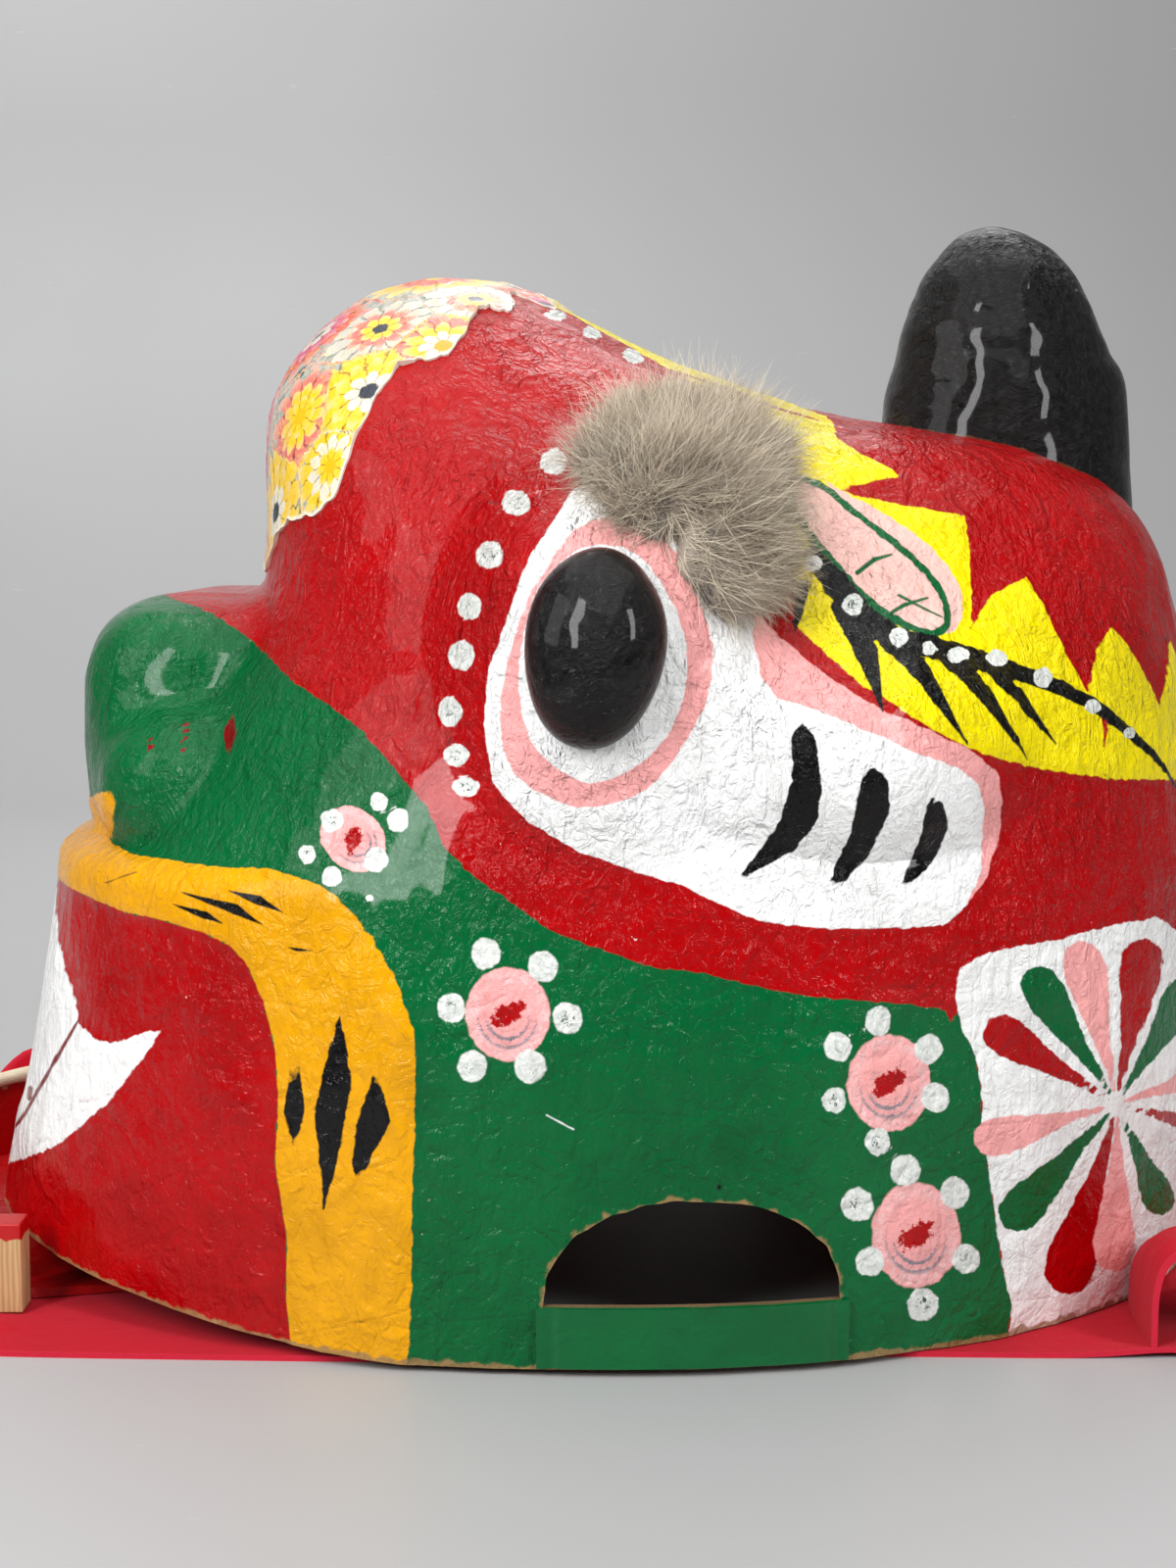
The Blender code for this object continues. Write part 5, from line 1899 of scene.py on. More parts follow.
@dataclass
class FurBrow:
    """Tuft of rabbit fur over one eye: a hide in locks, and its hairs."""

    shell: HeadShell
    lobes: tuple = ((27.0, 297.0, 37.0, 25.0), (42.0, 267.0, 20.0, 20.0))
    middle: Pixel = (31.0, 288.0)
    locks: int = 13
    height: float = 15.0
    hairs: int = 17000
    length: float = 24.0
    hair_width: float = 0.16

    def outline(self, turn: Array) -> tuple:
        """Edge of the hide with its pointed locks."""
        best = np.zeros_like(turn)
        for y, z, half_y, half_z in self.lobes:
            for r in np.linspace(3.7, 70.0, 134):
                py, pz = self.middle[0] + r * np.cos(turn), self.middle[1] + r * np.sin(turn)
                within = ((py - y) / half_y) ** 2 + ((pz - z) / half_z) ** 2 < 1.0
                best = np.where(within, np.maximum(best, r), best)
        best = best * (0.9 + 0.06 * np.cos(self.locks * turn))
        y = self.middle[0] + best * np.cos(turn)
        return y, self.middle[1] + best * np.sin(turn), self.middle[0], self.middle[1]

    def build(self, side: Side, hair: Finish) -> Piece:
        """Makes one tuft.

        Args:
            side: Side of the head.
            hair: Its finish.

        Returns:
            The tuft's object.
        """
        dome = Dome(self.shell, 78, 12)
        points, normals, share = dome.grid(self.outline, side)
        low = self.shell.drop(points, normals, -0.6)
        lumps = Lattice(41).at(points, 11.0)
        height = 0.42 * self.height * np.clip(1.0 - share**2.6, 0.0, 1.0) ** 0.7
        high = low + normals * (1.2 + height * (1.0 + 0.35 * lumps))[:, None]
        name = f"rabbit_fur_{side.word}"
        tuft = to_object(name, dome.close(high, low).mesh(name), hair)
        count = len(high)
        out = points - np.array([points[0][0] * 0.4, self.middle[0] - 6.0, self.middle[1] - 2.0])
        out[:, 0] = 0.0
        out /= np.maximum(np.linalg.norm(out, axis=1), 1.0)[:, None]
        lie = np.array([0.0, 0.35, -0.15])
        swirl = np.stack([Lattice(k).at(points, 12.0) for k in (43, 45, 47)], -1)
        rise = np.clip(0.8 - 0.5 * share**1.5, 0.25, 1.0)[:, None]
        comb = normals * rise + (out * 0.75 + lie) * (0.35 + 0.55 * share[:, None]) + 0.75 * swirl
        comb /= np.linalg.norm(comb, axis=1)[:, None]
        bare = np.zeros(len(low))
        store(tuft.data, "comb", np.concatenate([comb, comb]))
        store(tuft.data, "bearing", np.concatenate([np.ones(count), bare]))
        store(tuft.data, "share", np.concatenate([share, share]))
        self.grow(tuft, hair, 5 if side is Side.LEFT else 6)
        return tuft

    def grow(self, tuft: Piece, hair: Finish, seed: int) -> None:
        """Plants the hairs on the hide with geometry nodes and makes the result a mesh.

        Args:
            tuft: The hide.
            hair: Finish of the hairs.
            seed: Number that fixes their places.
        """
        tree = self.hair_tree()
        modifier = tuft.modifiers.new("hairs", "NODES")
        modifier.node_group = tree
        area = sum(p.area for p in tuft.data.polygons) * 0.5
        values = {
            "Density": self.hairs / area,
            "Length": self.length * MM,
            "Width": self.hair_width * MM,
            "Seed": seed,
            "Finish": hair,
        }
        for item in tree.interface.items_tree:
            if item.item_type == "SOCKET" and item.in_out == "INPUT" and item.name in values:
                modifier[item.identifier] = values[item.name]
        freeze(tuft)
        tuft.data.shade_smooth()

    def hair_tree(self) -> bpy.types.NodeTree:
        """Geometry nodes that plant curved, tapered hairs.

        Returns:
            The tree.
        """
        tree = bpy.data.node_groups.new("hair_planter", "GeometryNodeTree")
        kinds = {"Hide": "Geometry", "Seed": "Int", "Finish": "Material"}
        for name in ("Hide", "Density", "Length", "Width", "Seed", "Finish"):
            kind = f"NodeSocket{kinds.get(name, 'Float')}"
            tree.interface.new_socket(name, in_out="INPUT", socket_type=kind)
        tree.interface.new_socket("Tuft", in_out="OUTPUT", socket_type="NodeSocketGeometry")
        k = Planter(tree)
        given = k.node("NodeGroupInput").outputs
        source = {"Mesh": given["Hide"], "Density": given["Density"], "Seed": given["Seed"]}
        source["Selection"] = k.above(k.named("bearing"), 0.9)
        points = k.node("GeometryNodeDistributePointsOnFaces", {"distribute_method": "RANDOM"}, source)
        comb = k.named("comb", "FLOAT_VECTOR")
        guard = k.math("GREATER_THAN", k.random(0.0, 1.0, 4), 0.82)
        wild = k.math("ADD", 1.0, k.times(guard, 1.5))
        push = k.random_vector((-0.5, -0.5, -0.5), (0.5, 0.5, 0.5), 1)
        lean = k.vector_math("ADD", comb, k.vector_math("SCALE", push, scale=wild))
        turn = k.node("FunctionNodeAlignRotationToVector", {"axis": "Z"}, {"Vector": lean})
        whirl = k.random_vector((0.0, 0.0, 0.0), (0.0, 0.0, 6.283), 2)
        whirl = k.node("FunctionNodeEulerToRotation", {}, {0: whirl}).outputs[0]
        turns = {"Rotation": turn.outputs[0], "Rotate By": whirl}
        spin = k.node("FunctionNodeRotateRotation", {"rotation_space": "LOCAL"}, turns)
        thin = k.math("SUBTRACT", 1.06, k.times(0.42, k.named("share")))
        long = k.math("ADD", 0.95, k.times(guard, 0.5))
        size = k.times(k.times(k.random(0.45, 1.12, 3), thin), long)
        planted = k.node("GeometryNodeInstanceOnPoints", {}, {
            "Points": points.outputs["Points"],
            "Instance": self.strand(k, given["Width"], given["Length"]),
            "Rotation": spin.outputs[0],
            "Scale": k.combine(1.0, 1.0, size),
        })
        toned = k.mark(planted.outputs[0], "INSTANCE", "tone", k.random(0.0, 1.0, 4))
        real = k.node("GeometryNodeRealizeInstances", {}, {"Geometry": toned}).outputs[0]
        curl = k.node("ShaderNodeTexNoise", {"noise_dimensions": "3D"}, {"Scale": 70.0, "Detail": 2.0})
        drift = k.vector_math("SUBTRACT", curl.outputs["Color"], (0.5, 0.5, 0.5))
        along = k.named("along")
        amount = k.times(k.times(along, along), 0.019)
        moved = k.shift(real, k.vector_math("SCALE", drift, scale=amount))
        joined = k.node("GeometryNodeJoinGeometry")
        tree.links.new(moved, joined.inputs[0])
        tree.links.new(given["Hide"], joined.inputs[0])
        dressed = {"Geometry": joined.outputs[0], "Material": given["Finish"]}
        painted = k.node("GeometryNodeSetMaterial", {}, dressed)
        tree.links.new(painted.outputs[0], k.node("NodeGroupOutput").inputs["Tuft"])
        return tree

    @staticmethod
    def strand(k: "Planter", width: Socket, length: Socket) -> Socket:
        """One hair along Z: a bent cone of three sides and three lengths.

        Args:
            k: The tree.
            width: Its radius at the root.
            length: Its length.

        Returns:
            The hair's mesh.
        """
        form = {"Vertices": 3, "Side Segments": 3, "Radius Top": 0.0}
        form.update({"Radius Bottom": width, "Depth": length})
        cone = k.node("GeometryNodeMeshCone", {"fill_type": "NONE"}, form).outputs["Mesh"]
        height = k.split(k.node("GeometryNodeInputPosition").outputs[0], "Z")
        share = k.math("DIVIDE", height, length)
        marked = k.mark(cone, "POINT", "along", share)
        bow = k.times(k.times(share, share), k.times(length, 0.3))
        return k.shift(marked, k.combine(bow, 0.0, 0.0))


class Planter(Tree):
    """Builds a geometry node tree."""

    def math(self, operation: str, first: object, second: object) -> Socket:
        """Arithmetic on two numbers."""
        return self.node("ShaderNodeMath", {"operation": operation}, {0: first, 1: second}).outputs[0]

    def times(self, first: object, second: object) -> Socket:
        """Product of two numbers."""
        return self.math("MULTIPLY", first, second)

    def mark(self, geometry: Socket, domain: str, name: str, value: Socket) -> Socket:
        """Stores a number on a geometry."""
        settings = {"data_type": "FLOAT", "domain": domain}
        inputs = {"Geometry": geometry, "Name": name, "Value": value}
        return self.node("GeometryNodeStoreNamedAttribute", settings, inputs).outputs[0]

    def shift(self, geometry: Socket, offset: Socket) -> Socket:
        """Moves a geometry's points."""
        inputs = {"Geometry": geometry, "Offset": offset}
        return self.node("GeometryNodeSetPosition", {}, inputs).outputs[0]

    def combine(self, x: object, y: object, z: object) -> Socket:
        """A vector of three numbers."""
        return self.node("ShaderNodeCombineXYZ", {}, {0: x, 1: y, 2: z}).outputs[0]

    def split(self, vector: Socket, part: str) -> Socket:
        """One number of a vector."""
        return self.node("ShaderNodeSeparateXYZ", {}, {0: vector}).outputs[part]

    def named(self, name: str, kind: str = "FLOAT") -> Socket:
        """A stored attribute."""
        stored = self.node("GeometryNodeInputNamedAttribute", {"data_type": kind}, {"Name": name})
        return stored.outputs["Attribute"]

    def above(self, value: Socket, limit: float) -> Socket:
        """Whether a number is above a limit."""
        settings = {"data_type": "FLOAT", "operation": "GREATER_THAN"}
        return self.node("FunctionNodeCompare", settings, {0: value, 1: limit}).outputs[0]

    def random(self, low: float, high: float, seed: int) -> Socket:
        """A random number for each element, with a fixed seed."""
        made = self.node("FunctionNodeRandomValue", {"data_type": "FLOAT"})
        made.inputs[2].default_value, made.inputs[3].default_value = low, high
        made.inputs["Seed"].default_value = seed
        return made.outputs[1]

    def random_vector(self, low: tuple, high: tuple, seed: int) -> Socket:
        """A random vector for each element, with a fixed seed."""
        made = self.node("FunctionNodeRandomValue", {"data_type": "FLOAT_VECTOR"})
        made.inputs[0].default_value, made.inputs[1].default_value = low, high
        made.inputs["Seed"].default_value = seed
        return made.outputs[0]


@dataclass
class Horn:
    """Black horn behind the crown."""

    shell: HeadShell
    rows: tuple = (
        (327.0, 156.0, 45.0, 38.0), (342.0, 154.5, 40.0, 34.0), (354.0, 153.5, 36.0, 30.5),
        (370.5, 153.0, 29.0, 24.0), (381.0, 152.0, 20.5, 17.0), (387.0, 150.5, 12.5, 10.5),
        (390.0, 150.0, 4.0, 3.4),
    )
    top: Pixel = (390.5, 150.0)
    foot: Triple = (157.5, 49.0, 42.0)
    sectors: int = 128
    lengths: int = 64

    def build(self, black: Finish) -> Piece:
        """Makes the horn.

        Args:
            black: Its finish.

        Returns:
            The horn's object.
        """
        turn = np.arange(self.sectors) / self.sectors * TAU
        foot_y, foot_half_y, foot_half_x = self.foot
        x, y = foot_half_x * np.cos(turn), foot_y + foot_half_y * np.sin(turn)
        a, t = self.shell.form.find(np.stack([np.abs(x), y], -1), (0, 1))
        a = np.where(x >= 0.0, a, -a)
        base = self.shell.drop(self.shell.form.skin(a, t), self.shell.form.normal(a, t), -1.2)
        rows = [base]
        ridge = 1.0 + 0.03 * np.cos(4.0 * turn)
        for z, mid, half_y, half_x in self.rows:
            x, y = half_x * np.cos(turn) * ridge, mid + half_y * np.sin(turn) * ridge
            rows.append(np.stack([x, y, np.full_like(turn, z)], -1))
        known = np.array(rows)
        places = np.linspace(0.0, len(known) - 1.0, self.lengths)
        low = np.minimum(places.astype(int), len(known) - 2)
        u = (places - low)[:, None, None]
        before, after = known[np.maximum(low - 1, 0)], known[np.minimum(low + 2, len(known) - 1)]
        here, there = known[low], known[low + 1]
        cubic = 3 * (here - there) + after - before
        square = 2 * before - 5 * here + 4 * there - after
        curve = here + 0.5 * u * (there - before + u * (square + u * cubic))
        out = curve - np.array([0.0, foot_y - 5.0, 0.0])
        out[..., 2] = 0.0
        out /= np.maximum(np.linalg.norm(out, axis=-1), 1e-6)[..., None]
        flat = curve.reshape(-1, 3)
        tall = flat * np.array([1.0, 1.0, 1.8])
        ripple = 0.5 * Lattice(51).at(flat, 16.0) + 0.3 * Lattice(53).at(tall, 8.0)
        order = np.arange(self.lengths)
        fade = np.clip(order / 4.0, 0.0, 1.0) * np.clip((self.lengths - 1 - order) / 6.0, 0.0, 1.0)
        fade = np.repeat(fade, self.sectors)
        curve = (flat + out.reshape(-1, 3) * (ripple * fade)[:, None]).reshape(curve.shape)
        weave = Weave()
        rings = [weave.row(ring) for ring in curve]
        weave.tube(rings)
        weave.fan(rings[-1], int(weave.row([(0.0, self.top[1], self.top[0])])[0]))
        weave.fan(rings[0][::-1], int(weave.row([(0.0, foot_y, base[:, 2].min() + 4.0)])[0]))
        horn = weave.piece("varnished_horn", black)
        rise = np.concatenate([(curve[:, :, 2] - base[None, :, 2]).ravel(), [80.0, 0.0]])
        store(horn.data, "base", rise)
        return horn


@dataclass(frozen=True)
class CollageFinish:
    """Cut-out printed flowers pasted edge to edge, of the maker's usual garden kinds."""

    name: str = "pasted_flowers"

    def make(self) -> Finish:
        """The material."""
        g = Graph(self.name)
        across, down, kind = g.vector("bloom")
        radius = (across * across + down * down).root()
        angle = g.number("ShaderNodeMath", {"operation": "ARCTAN2"}, {0: down, 1: across})
        speckle = g.noise(0.0022, 3.0, 0.7)
        colour: object = g.blend(speckle.ramp(0.42, 0.6), linear(196, 192, 178), linear(150, 156, 144))
        leaves = g.cells(0.009, "F1")
        tone = g.cells(0.009, "F1", out="Color")
        leaf_colour = g.blend(tone, linear(10, 84, 92), linear(70, 112, 84))
        colour = g.blend(leaves.ramp(0.3, 0.5, 1.0, 0.0) * tone.ramp(0.38, 0.45), colour, leaf_colour)
        outer = self.petals(g, colour, radius, angle, kind, (13.0, 1.08))
        middle = self.petals(g, outer, radius * 1.55, angle + 0.22, kind + 0.08, (11.0, 1.0))
        inner = self.petals(g, middle, radius * 2.6, angle + 0.1, kind + 0.17, (8.0, 1.0))
        heart = (0.15 - radius + (speckle - 0.5) * 0.12).edge(0.03)
        spot = g.blend((kind * 7.0).wrapped().ramp(0.3, 0.5), linear(250, 190, 0), linear(26, 34, 52))
        colour = g.blend(heart, inner, spot)
        print_dots = g.noise(0.0009, 1.0).ramp(0.35, 0.7, 0.12, 0.0)
        colour = g.blend(print_dots, colour, linear(120, 90, 70), "MULTIPLY")
        worn = g.noise(0.004, 4.0, 0.75).ramp(0.66, 0.72, 0.0, 0.55)
        colour = g.blend(worn, colour, linear(190, 184, 170))
        edge = (g.attribute("edge") + (speckle - 0.5) * 1.2).ramp(0.2, 0.7, 0.9, 0.0)
        colour = g.blend(edge, colour, linear(238, 234, 220))
        normal = g.bump((g.noise(0.007, 2.0, bend=0.8) - 0.5).size(), 0.001, 0.8)
        normal = g.bump(g.noise(0.0025, 2.0), 0.0004, 0.6, normal)
        rough = speckle.ramp(0.3, 0.7, 0.28, 0.5)
        return g.shade(
            Base_Color=colour, Roughness=rough, Coat_Weight=0.4, Coat_Roughness=0.15, Normal=normal
        )

    def petals(
        self, g: Graph, under: object, radius: Value, angle: Value, kind: Value, form: tuple
    ) -> object:
        """One ring of petals over a colour.

        Args:
            g: The tree.
            under: The colour below.
            radius: Distance from the flower's middle, 1 at its edge.
            angle: Direction from its middle.
            kind: The flower's own number.
            form: How many petals stand round it, and where they end.

        Returns:
            The colour.
        """
        count, reach = form
        ragged = (g.noise(0.004, 2.0) - 0.5) * 0.35
        lobe = ((angle + ragged) * (0.5 * count)).cosine().size()
        inside = reach * 0.7 + lobe * 0.34 + ragged * 0.5 - radius
        inside = inside.least(1.3 - g.attribute("bloom_reach"))
        stops = [
            (0.0, linear(222, 52, 26)),
            (0.1, linear(240, 110, 40)),
            (0.18, linear(250, 196, 30)),
            (0.26, linear(222, 64, 44)),
            (0.38, linear(206, 44, 120)),
            (0.48, linear(206, 202, 190)),
            (0.56, linear(232, 120, 110)),
            (0.64, linear(250, 204, 30)),
            (0.78, linear(232, 226, 206)),
            (0.88, linear(252, 206, 10)),
        ]
        base = g.node("ShaderNodeValToRGB", {"stops": stops}, {0: kind.wrapped()})
        base.color_ramp.interpolation = "CONSTANT"
        tip = g.blend(radius.ramp(0.75, 1.05, 0.0, 0.45), base.outputs[0], linear(236, 230, 216))
        brushed = g.noise(0.0025, 4.0, 0.7, bend=1.0)
        tip = g.blend(brushed.ramp(0.5, 0.66, 0.0, 0.55), tip, linear(250, 222, 120))
        vein = lobe.ramp(0.0, 0.3, 0.8, 0.0)
        tip = g.blend(vein, tip, linear(110, 54, 50), "MULTIPLY")
        return g.blend(inside.edge(0.05), under, tip)


@dataclass
class ForeheadFlowers:
    """Paper flowers pasted over the forehead, scalloped at their lower edge."""

    shell: HeadShell
    lobes: int = 11
    scallop: float = 0.28
    thick: float = 0.5
    sectors: int = 352
    rings: int = 84
    bloom: float = 25.0

    def edge(self, turn: Array) -> Array:
        """Row at which the flowers end for angles from the front."""
        c = np.cos(turn)
        base = 13.6 - 1.4 * smooth_step((c + 0.6) / 0.9) - 4.1 * smooth_step((c - 0.16) / 0.8)
        petals = 0.07 * np.abs(np.sin(31.0 * turn)) + 0.03 * np.abs(np.sin(57.0 * turn))
        return base + self.scallop * np.cos(self.lobes * turn) - petals

    def build(self, paper: Finish) -> Piece:
        """Makes the pasted sheet.

        Args:
            paper: Its finish.

        Returns:
            The sheet's object.
        """
        form, weave = self.shell.form, Weave()
        turn = np.arange(self.sectors) / self.sectors * TAU
        turn = turn - 0.35 * np.sin(turn)
        edge, top = self.edge(turn), form.crown - 0.35
        share = np.linspace(0.0, 1.0, self.rings) ** 0.85
        t = top + (edge[None, :] - top) * share[:, None]
        a = np.broadcast_to(turn, t.shape)
        points, normals = form.skin(a, t).reshape(-1, 3), form.normal(a, t).reshape(-1, 3)
        low = self.shell.drop(points, normals, -0.5)
        curl = np.clip((np.repeat(share, self.sectors) - 0.96) / 0.04, 0.0, 1.0) ** 2
        lift = curl * np.clip(Lattice(61).at(points, 9.0), 0.0, 1.0) * 1.6
        steps = 0.35 * np.floor(2.5 * (Lattice(63).at(points, 13.0) + 1.0)) / 2.5
        high = low + normals * (0.5 + self.thick + steps + lift)[:, None]
        tops = weave.row(high).reshape(self.rings, self.sectors)
        lows = weave.row(low).reshape(self.rings, self.sectors)
        crown = form.skin(np.array([0.0]), np.array([float(form.crown)]))
        up = np.array([[0.0, 0.0, 1.0]])
        weave.tube(tops)
        weave.tube(lows)
        weave.strip(tops[-1], lows[-1])
        weave.fan(tops[0], int(weave.row(crown + up * (0.5 + self.thick))[0]))
        weave.fan(lows[0], int(weave.row(crown - up * 0.5)[0]))
        sheet = weave.piece("pasted_flowers", paper)
        blooms = self.blooms(corners_of(sheet.data))
        store(sheet.data, "bloom", blooms[:, :3])
        store(sheet.data, "bloom_reach", blooms[:, 3])
        ring_gap = np.repeat((1.0 - share) * 60.0, self.sectors)
        store(sheet.data, "edge", np.concatenate([ring_gap, ring_gap, [60.0, 60.0]]))
        return sheet

    def blooms(self, places: Array) -> Array:
        """Coordinates inside the nearest flower.

        Args:
            places: Vertices in millimetres.

        Returns:
            Rows of two coordinates, 1 at the flower's edge, its number and the distance.
        """
        rng = np.random.default_rng(12)
        spread, middles = rng.permutation(len(places)), []
        for number in spread:
            spot = places[number]
            if all(np.linalg.norm(spot - other) > 1.18 * self.bloom for other in middles):
                middles.append(spot)
        best = np.full(len(places), 1e9)
        found = np.tile(np.array([3.0, 3.0, 0.0, 3.0]), (len(places), 1))
        centre = np.array([0.0, -56.0, 250.0])
        for number, middle in enumerate(middles):
            out = (middle - centre) / np.linalg.norm(middle - centre)
            side = np.cross(out, [0.0, 0.0, 1.0])
            side /= max(np.linalg.norm(side), 1e-6)
            up = np.cross(side, out)
            size = self.bloom * (0.72 + 0.4 * rng.random())
            rel = (places - middle) / size
            u, v = rel @ side, rel @ up
            radius = np.hypot(u, v)
            near = radius < best
            out_share = np.clip(abs(middle[0]) / 120.0 + 0.25 * rng.random(), 0.0, 1.2)
            kind = np.interp(out_share, (0.0, 0.45, 0.8, 1.2), (0.04, 0.38, 0.6, 0.72))
            kind += 0.1 * rng.random()
            found[near] = np.stack([u, v, np.full_like(u, kind), radius], -1)[near]
            best = np.where(near, radius, best)
        return found


@dataclass
class Jaw:
    """The loose lower jaw: scoop, cloth band and the wooden blocks at its ends."""

    half_width: float = 178.0
    reach: float = 288.0
    power: float = 2.2
    inner_half: float = 150.0
    inner_reach: float = 196.0
    spread: float = math.radians(41.5)
    top_z: float = 33.0
    wall: float = 3.0
    floor_z: float = 2.4
    stations: int = 121

    def curve(self, half: float, reach: float, turn: Array) -> tuple[Array, Array]:
        """Points of a jaw line in plan, by angle from the front."""
        c, s = np.cos(turn), np.sin(turn)
        scale = (np.abs(c) ** self.power + np.abs(s) ** self.power) ** (-1.0 / self.power)
        return half * scale * s, -reach * scale * c

    def sweep(self, name: str, profile: Callable[[float], Array], finish: Finish, lump: float) -> Piece:
        """Closed sweep of a profile along the jaw.

        Args:
            name: The piece's name.
            profile: Gives a cross-section for an angle.
            finish: Its finish.
            lump: Unevenness in millimetres.

        Returns:
            The piece's object.
        """
        weave = Weave()
        turns = np.linspace(-self.spread, self.spread, self.stations)
        grid = np.array([profile(turn) for turn in turns])
        count = grid.shape[1]
        around = np.roll(grid, -1, axis=1) - np.roll(grid, 1, axis=1)
        along = np.gradient(grid, axis=0)
        out = np.cross(along, around)
        out /= np.maximum(np.linalg.norm(out, axis=-1), 1e-6)[..., None]
        flat = grid.reshape(-1, 3)
        ripple = lump * (Lattice(71).at(flat, 18.0) + 0.5 * Lattice(73).at(flat, 7.0))
        flat = flat + out.reshape(-1, 3) * ripple[:, None]
        flat[:, 2] = np.maximum(flat[:, 2], self.floor_z)
        rings = weave.row(flat).reshape(self.stations, count)
        weave.tube(rings)
        weave.face(rings[0][::-1])
        weave.face(rings[-1])
        made = weave.piece(name, finish, 50.0)
        height = corners_of(made.data)[:, 2]
        store(made.data, "edge", np.minimum(np.abs(self.top_z - height) * 0.3 + 0.3, 2.0))
        return made

    def scoop_profile(self, turn: float) -> Array:
        """Cross-section of the scoop: floor under the muzzle and wall in front."""
        z, wall = self.floor_z, self.wall
        knots = [
            (*self.curve(self.inner_half, self.inner_reach, turn), z),
            (*self.curve(self.half_width - 6.0, self.reach - 8.0, turn), z),
            (*self.curve(self.half_width, self.reach, turn), self.top_z),
            (*self.curve(self.half_width - wall, self.reach - wall, turn), self.top_z),
            (*self.curve(self.half_width - 6.0 - wall, self.reach - 8.0 - wall, turn), z + wall),
            (*self.curve(self.inner_half, self.inner_reach, turn), z + 0.8 * wall),
        ]
        knots, points = np.array(knots), []
        for start, end, pieces in zip(knots, np.roll(knots, -1, axis=0), (22, 12, 2, 10, 20, 2)):
            points.extend(start + (end - start) * i / pieces for i in range(pieces))
        return np.array(points)

    def band_profile(self, turn: float) -> Array:
        """Cross-section of the rounded cloth band on the wall."""
        x, y = self.curve(self.half_width - 1.5, self.reach - 1.5, turn)
        length = math.hypot(x, y)
        points = []
        for angle in np.linspace(0.0, TAU, 18, endpoint=False):
            c, s = math.cos(angle), math.sin(angle)
            du = 4.5 * math.copysign(abs(c) ** 0.75, c)
            dz = 2.6 + 2.6 * math.copysign(abs(s) ** 0.75, s)
            points.append((x + du * x / length, y + du * y / length, self.top_z + 0.2 + dz))
        return np.array(points)

    def block(self, side: Side, wood: Finish) -> Piece:
        """Wooden block at one end of the wall, with worn corners.

        Args:
            side: Side of the head.
            wood: Its finish.

        Returns:
            The block's object.
        """
        turn = side.value * (self.spread + math.radians(2.7))
        x, y = self.curve(self.half_width - 4.0, self.reach - 4.0, np.array(turn))
        work = bmesh.new()
        low, high = self.floor_z, self.top_z + 1.5
        scale = Matrix.Diagonal((14.0, 11.0, high - low, 1.0))
        middle = Matrix.Translation((x, y, 0.5 * (low + high)))
        bmesh.ops.create_cube(work, size=1.0, matrix=middle @ scale)
        bmesh.ops.bevel(work, geom=work.edges, offset=0.9, segments=3, affect="EDGES", profile=0.6)
        bmesh.ops.subdivide_edges(work, edges=work.edges, cuts=2, use_grid_fill=True)
        places = np.array([v.co for v in work.verts])
        shake = 0.18 * Lattice(75).at(places, 5.0)
        for vertex, move in zip(work.verts, shake):
            vertex.co *= MM
            vertex.co.x += move * MM
        mesh = bpy.data.meshes.new(f"wooden_block_{side.word}")
        work.to_mesh(mesh)
        work.free()
        block = to_object(mesh.name, mesh, wood)
        store(mesh, "height", corners_of(mesh)[:, 2])
        return smooth(block, 50.0)


@dataclass
class OpeningSill:
    """Painted card strip that closes the wall below one side opening."""

    shell: HeadShell
    start: float = -23.0
    end: float = 80.0
    low: float = 2.8
    card: float = 1.0
    columns: int = 105
    rows: int = 24

    def build(self, side: Side, paint: Finish) -> Piece:
        """Makes one strip.

        Args:
            side: Side of the head.
            paint: Its finish.

        Returns:
            The strip's object.
        """
        y = np.linspace(self.start, self.end, self.columns)
        z = np.linspace(self.low, self.shell.sill_z, self.rows)
        grid_y, grid_z = np.meshgrid(y, z)
        a, t = self.shell.form.find(np.stack([grid_y.ravel(), grid_z.ravel()], -1), (1, 2))
        points = self.shell.form.skin(a, t) * side.mirror
        normals = self.shell.form.normal(a, t) * side.mirror
        crease = np.exp(-(((grid_y.ravel() - 29.0) ** 2) ** 0.5 - 47.0) ** 2 / 3.0)
        wave = 0.25 * Lattice(81).at(points, 17.0) - 0.7 * crease
        base = points + normals * -0.4
        low = base.reshape(self.rows, self.columns, 3)
        high = (points + normals * (self.card + 0.7 + wave)[:, None]).reshape(low.shape)
        weave = Weave()
        lows = weave.row(low).reshape(self.rows, self.columns)
        highs = weave.row(high).reshape(self.rows, self.columns)
        weave.tube(lows, closed=False)
        weave.tube(highs, closed=False)
        rim = [(0, i) for i in range(self.columns)] + [(k, self.columns - 1) for k in range(1, self.rows)]
        rim += [(self.rows - 1, i) for i in range(self.columns - 2, -1, -1)]
        rim += [(k, 0) for k in range(self.rows - 2, 0, -1)]
        weave.strip(np.array([lows[e] for e in rim]), np.array([highs[e] for e in rim]))
        sill = weave.piece(f"card_sill_{side.word}", paint, 50.0)
        gap = 1.1 + np.minimum.reduce([
            grid_y.ravel() - self.start, self.end - grid_y.ravel(),
            (grid_z.ravel() - self.low) * 0.5, (self.shell.sill_z - grid_z.ravel()) * 1.4,
        ])
        store(sill.data, "edge", np.concatenate([gap, gap]))
        return sill


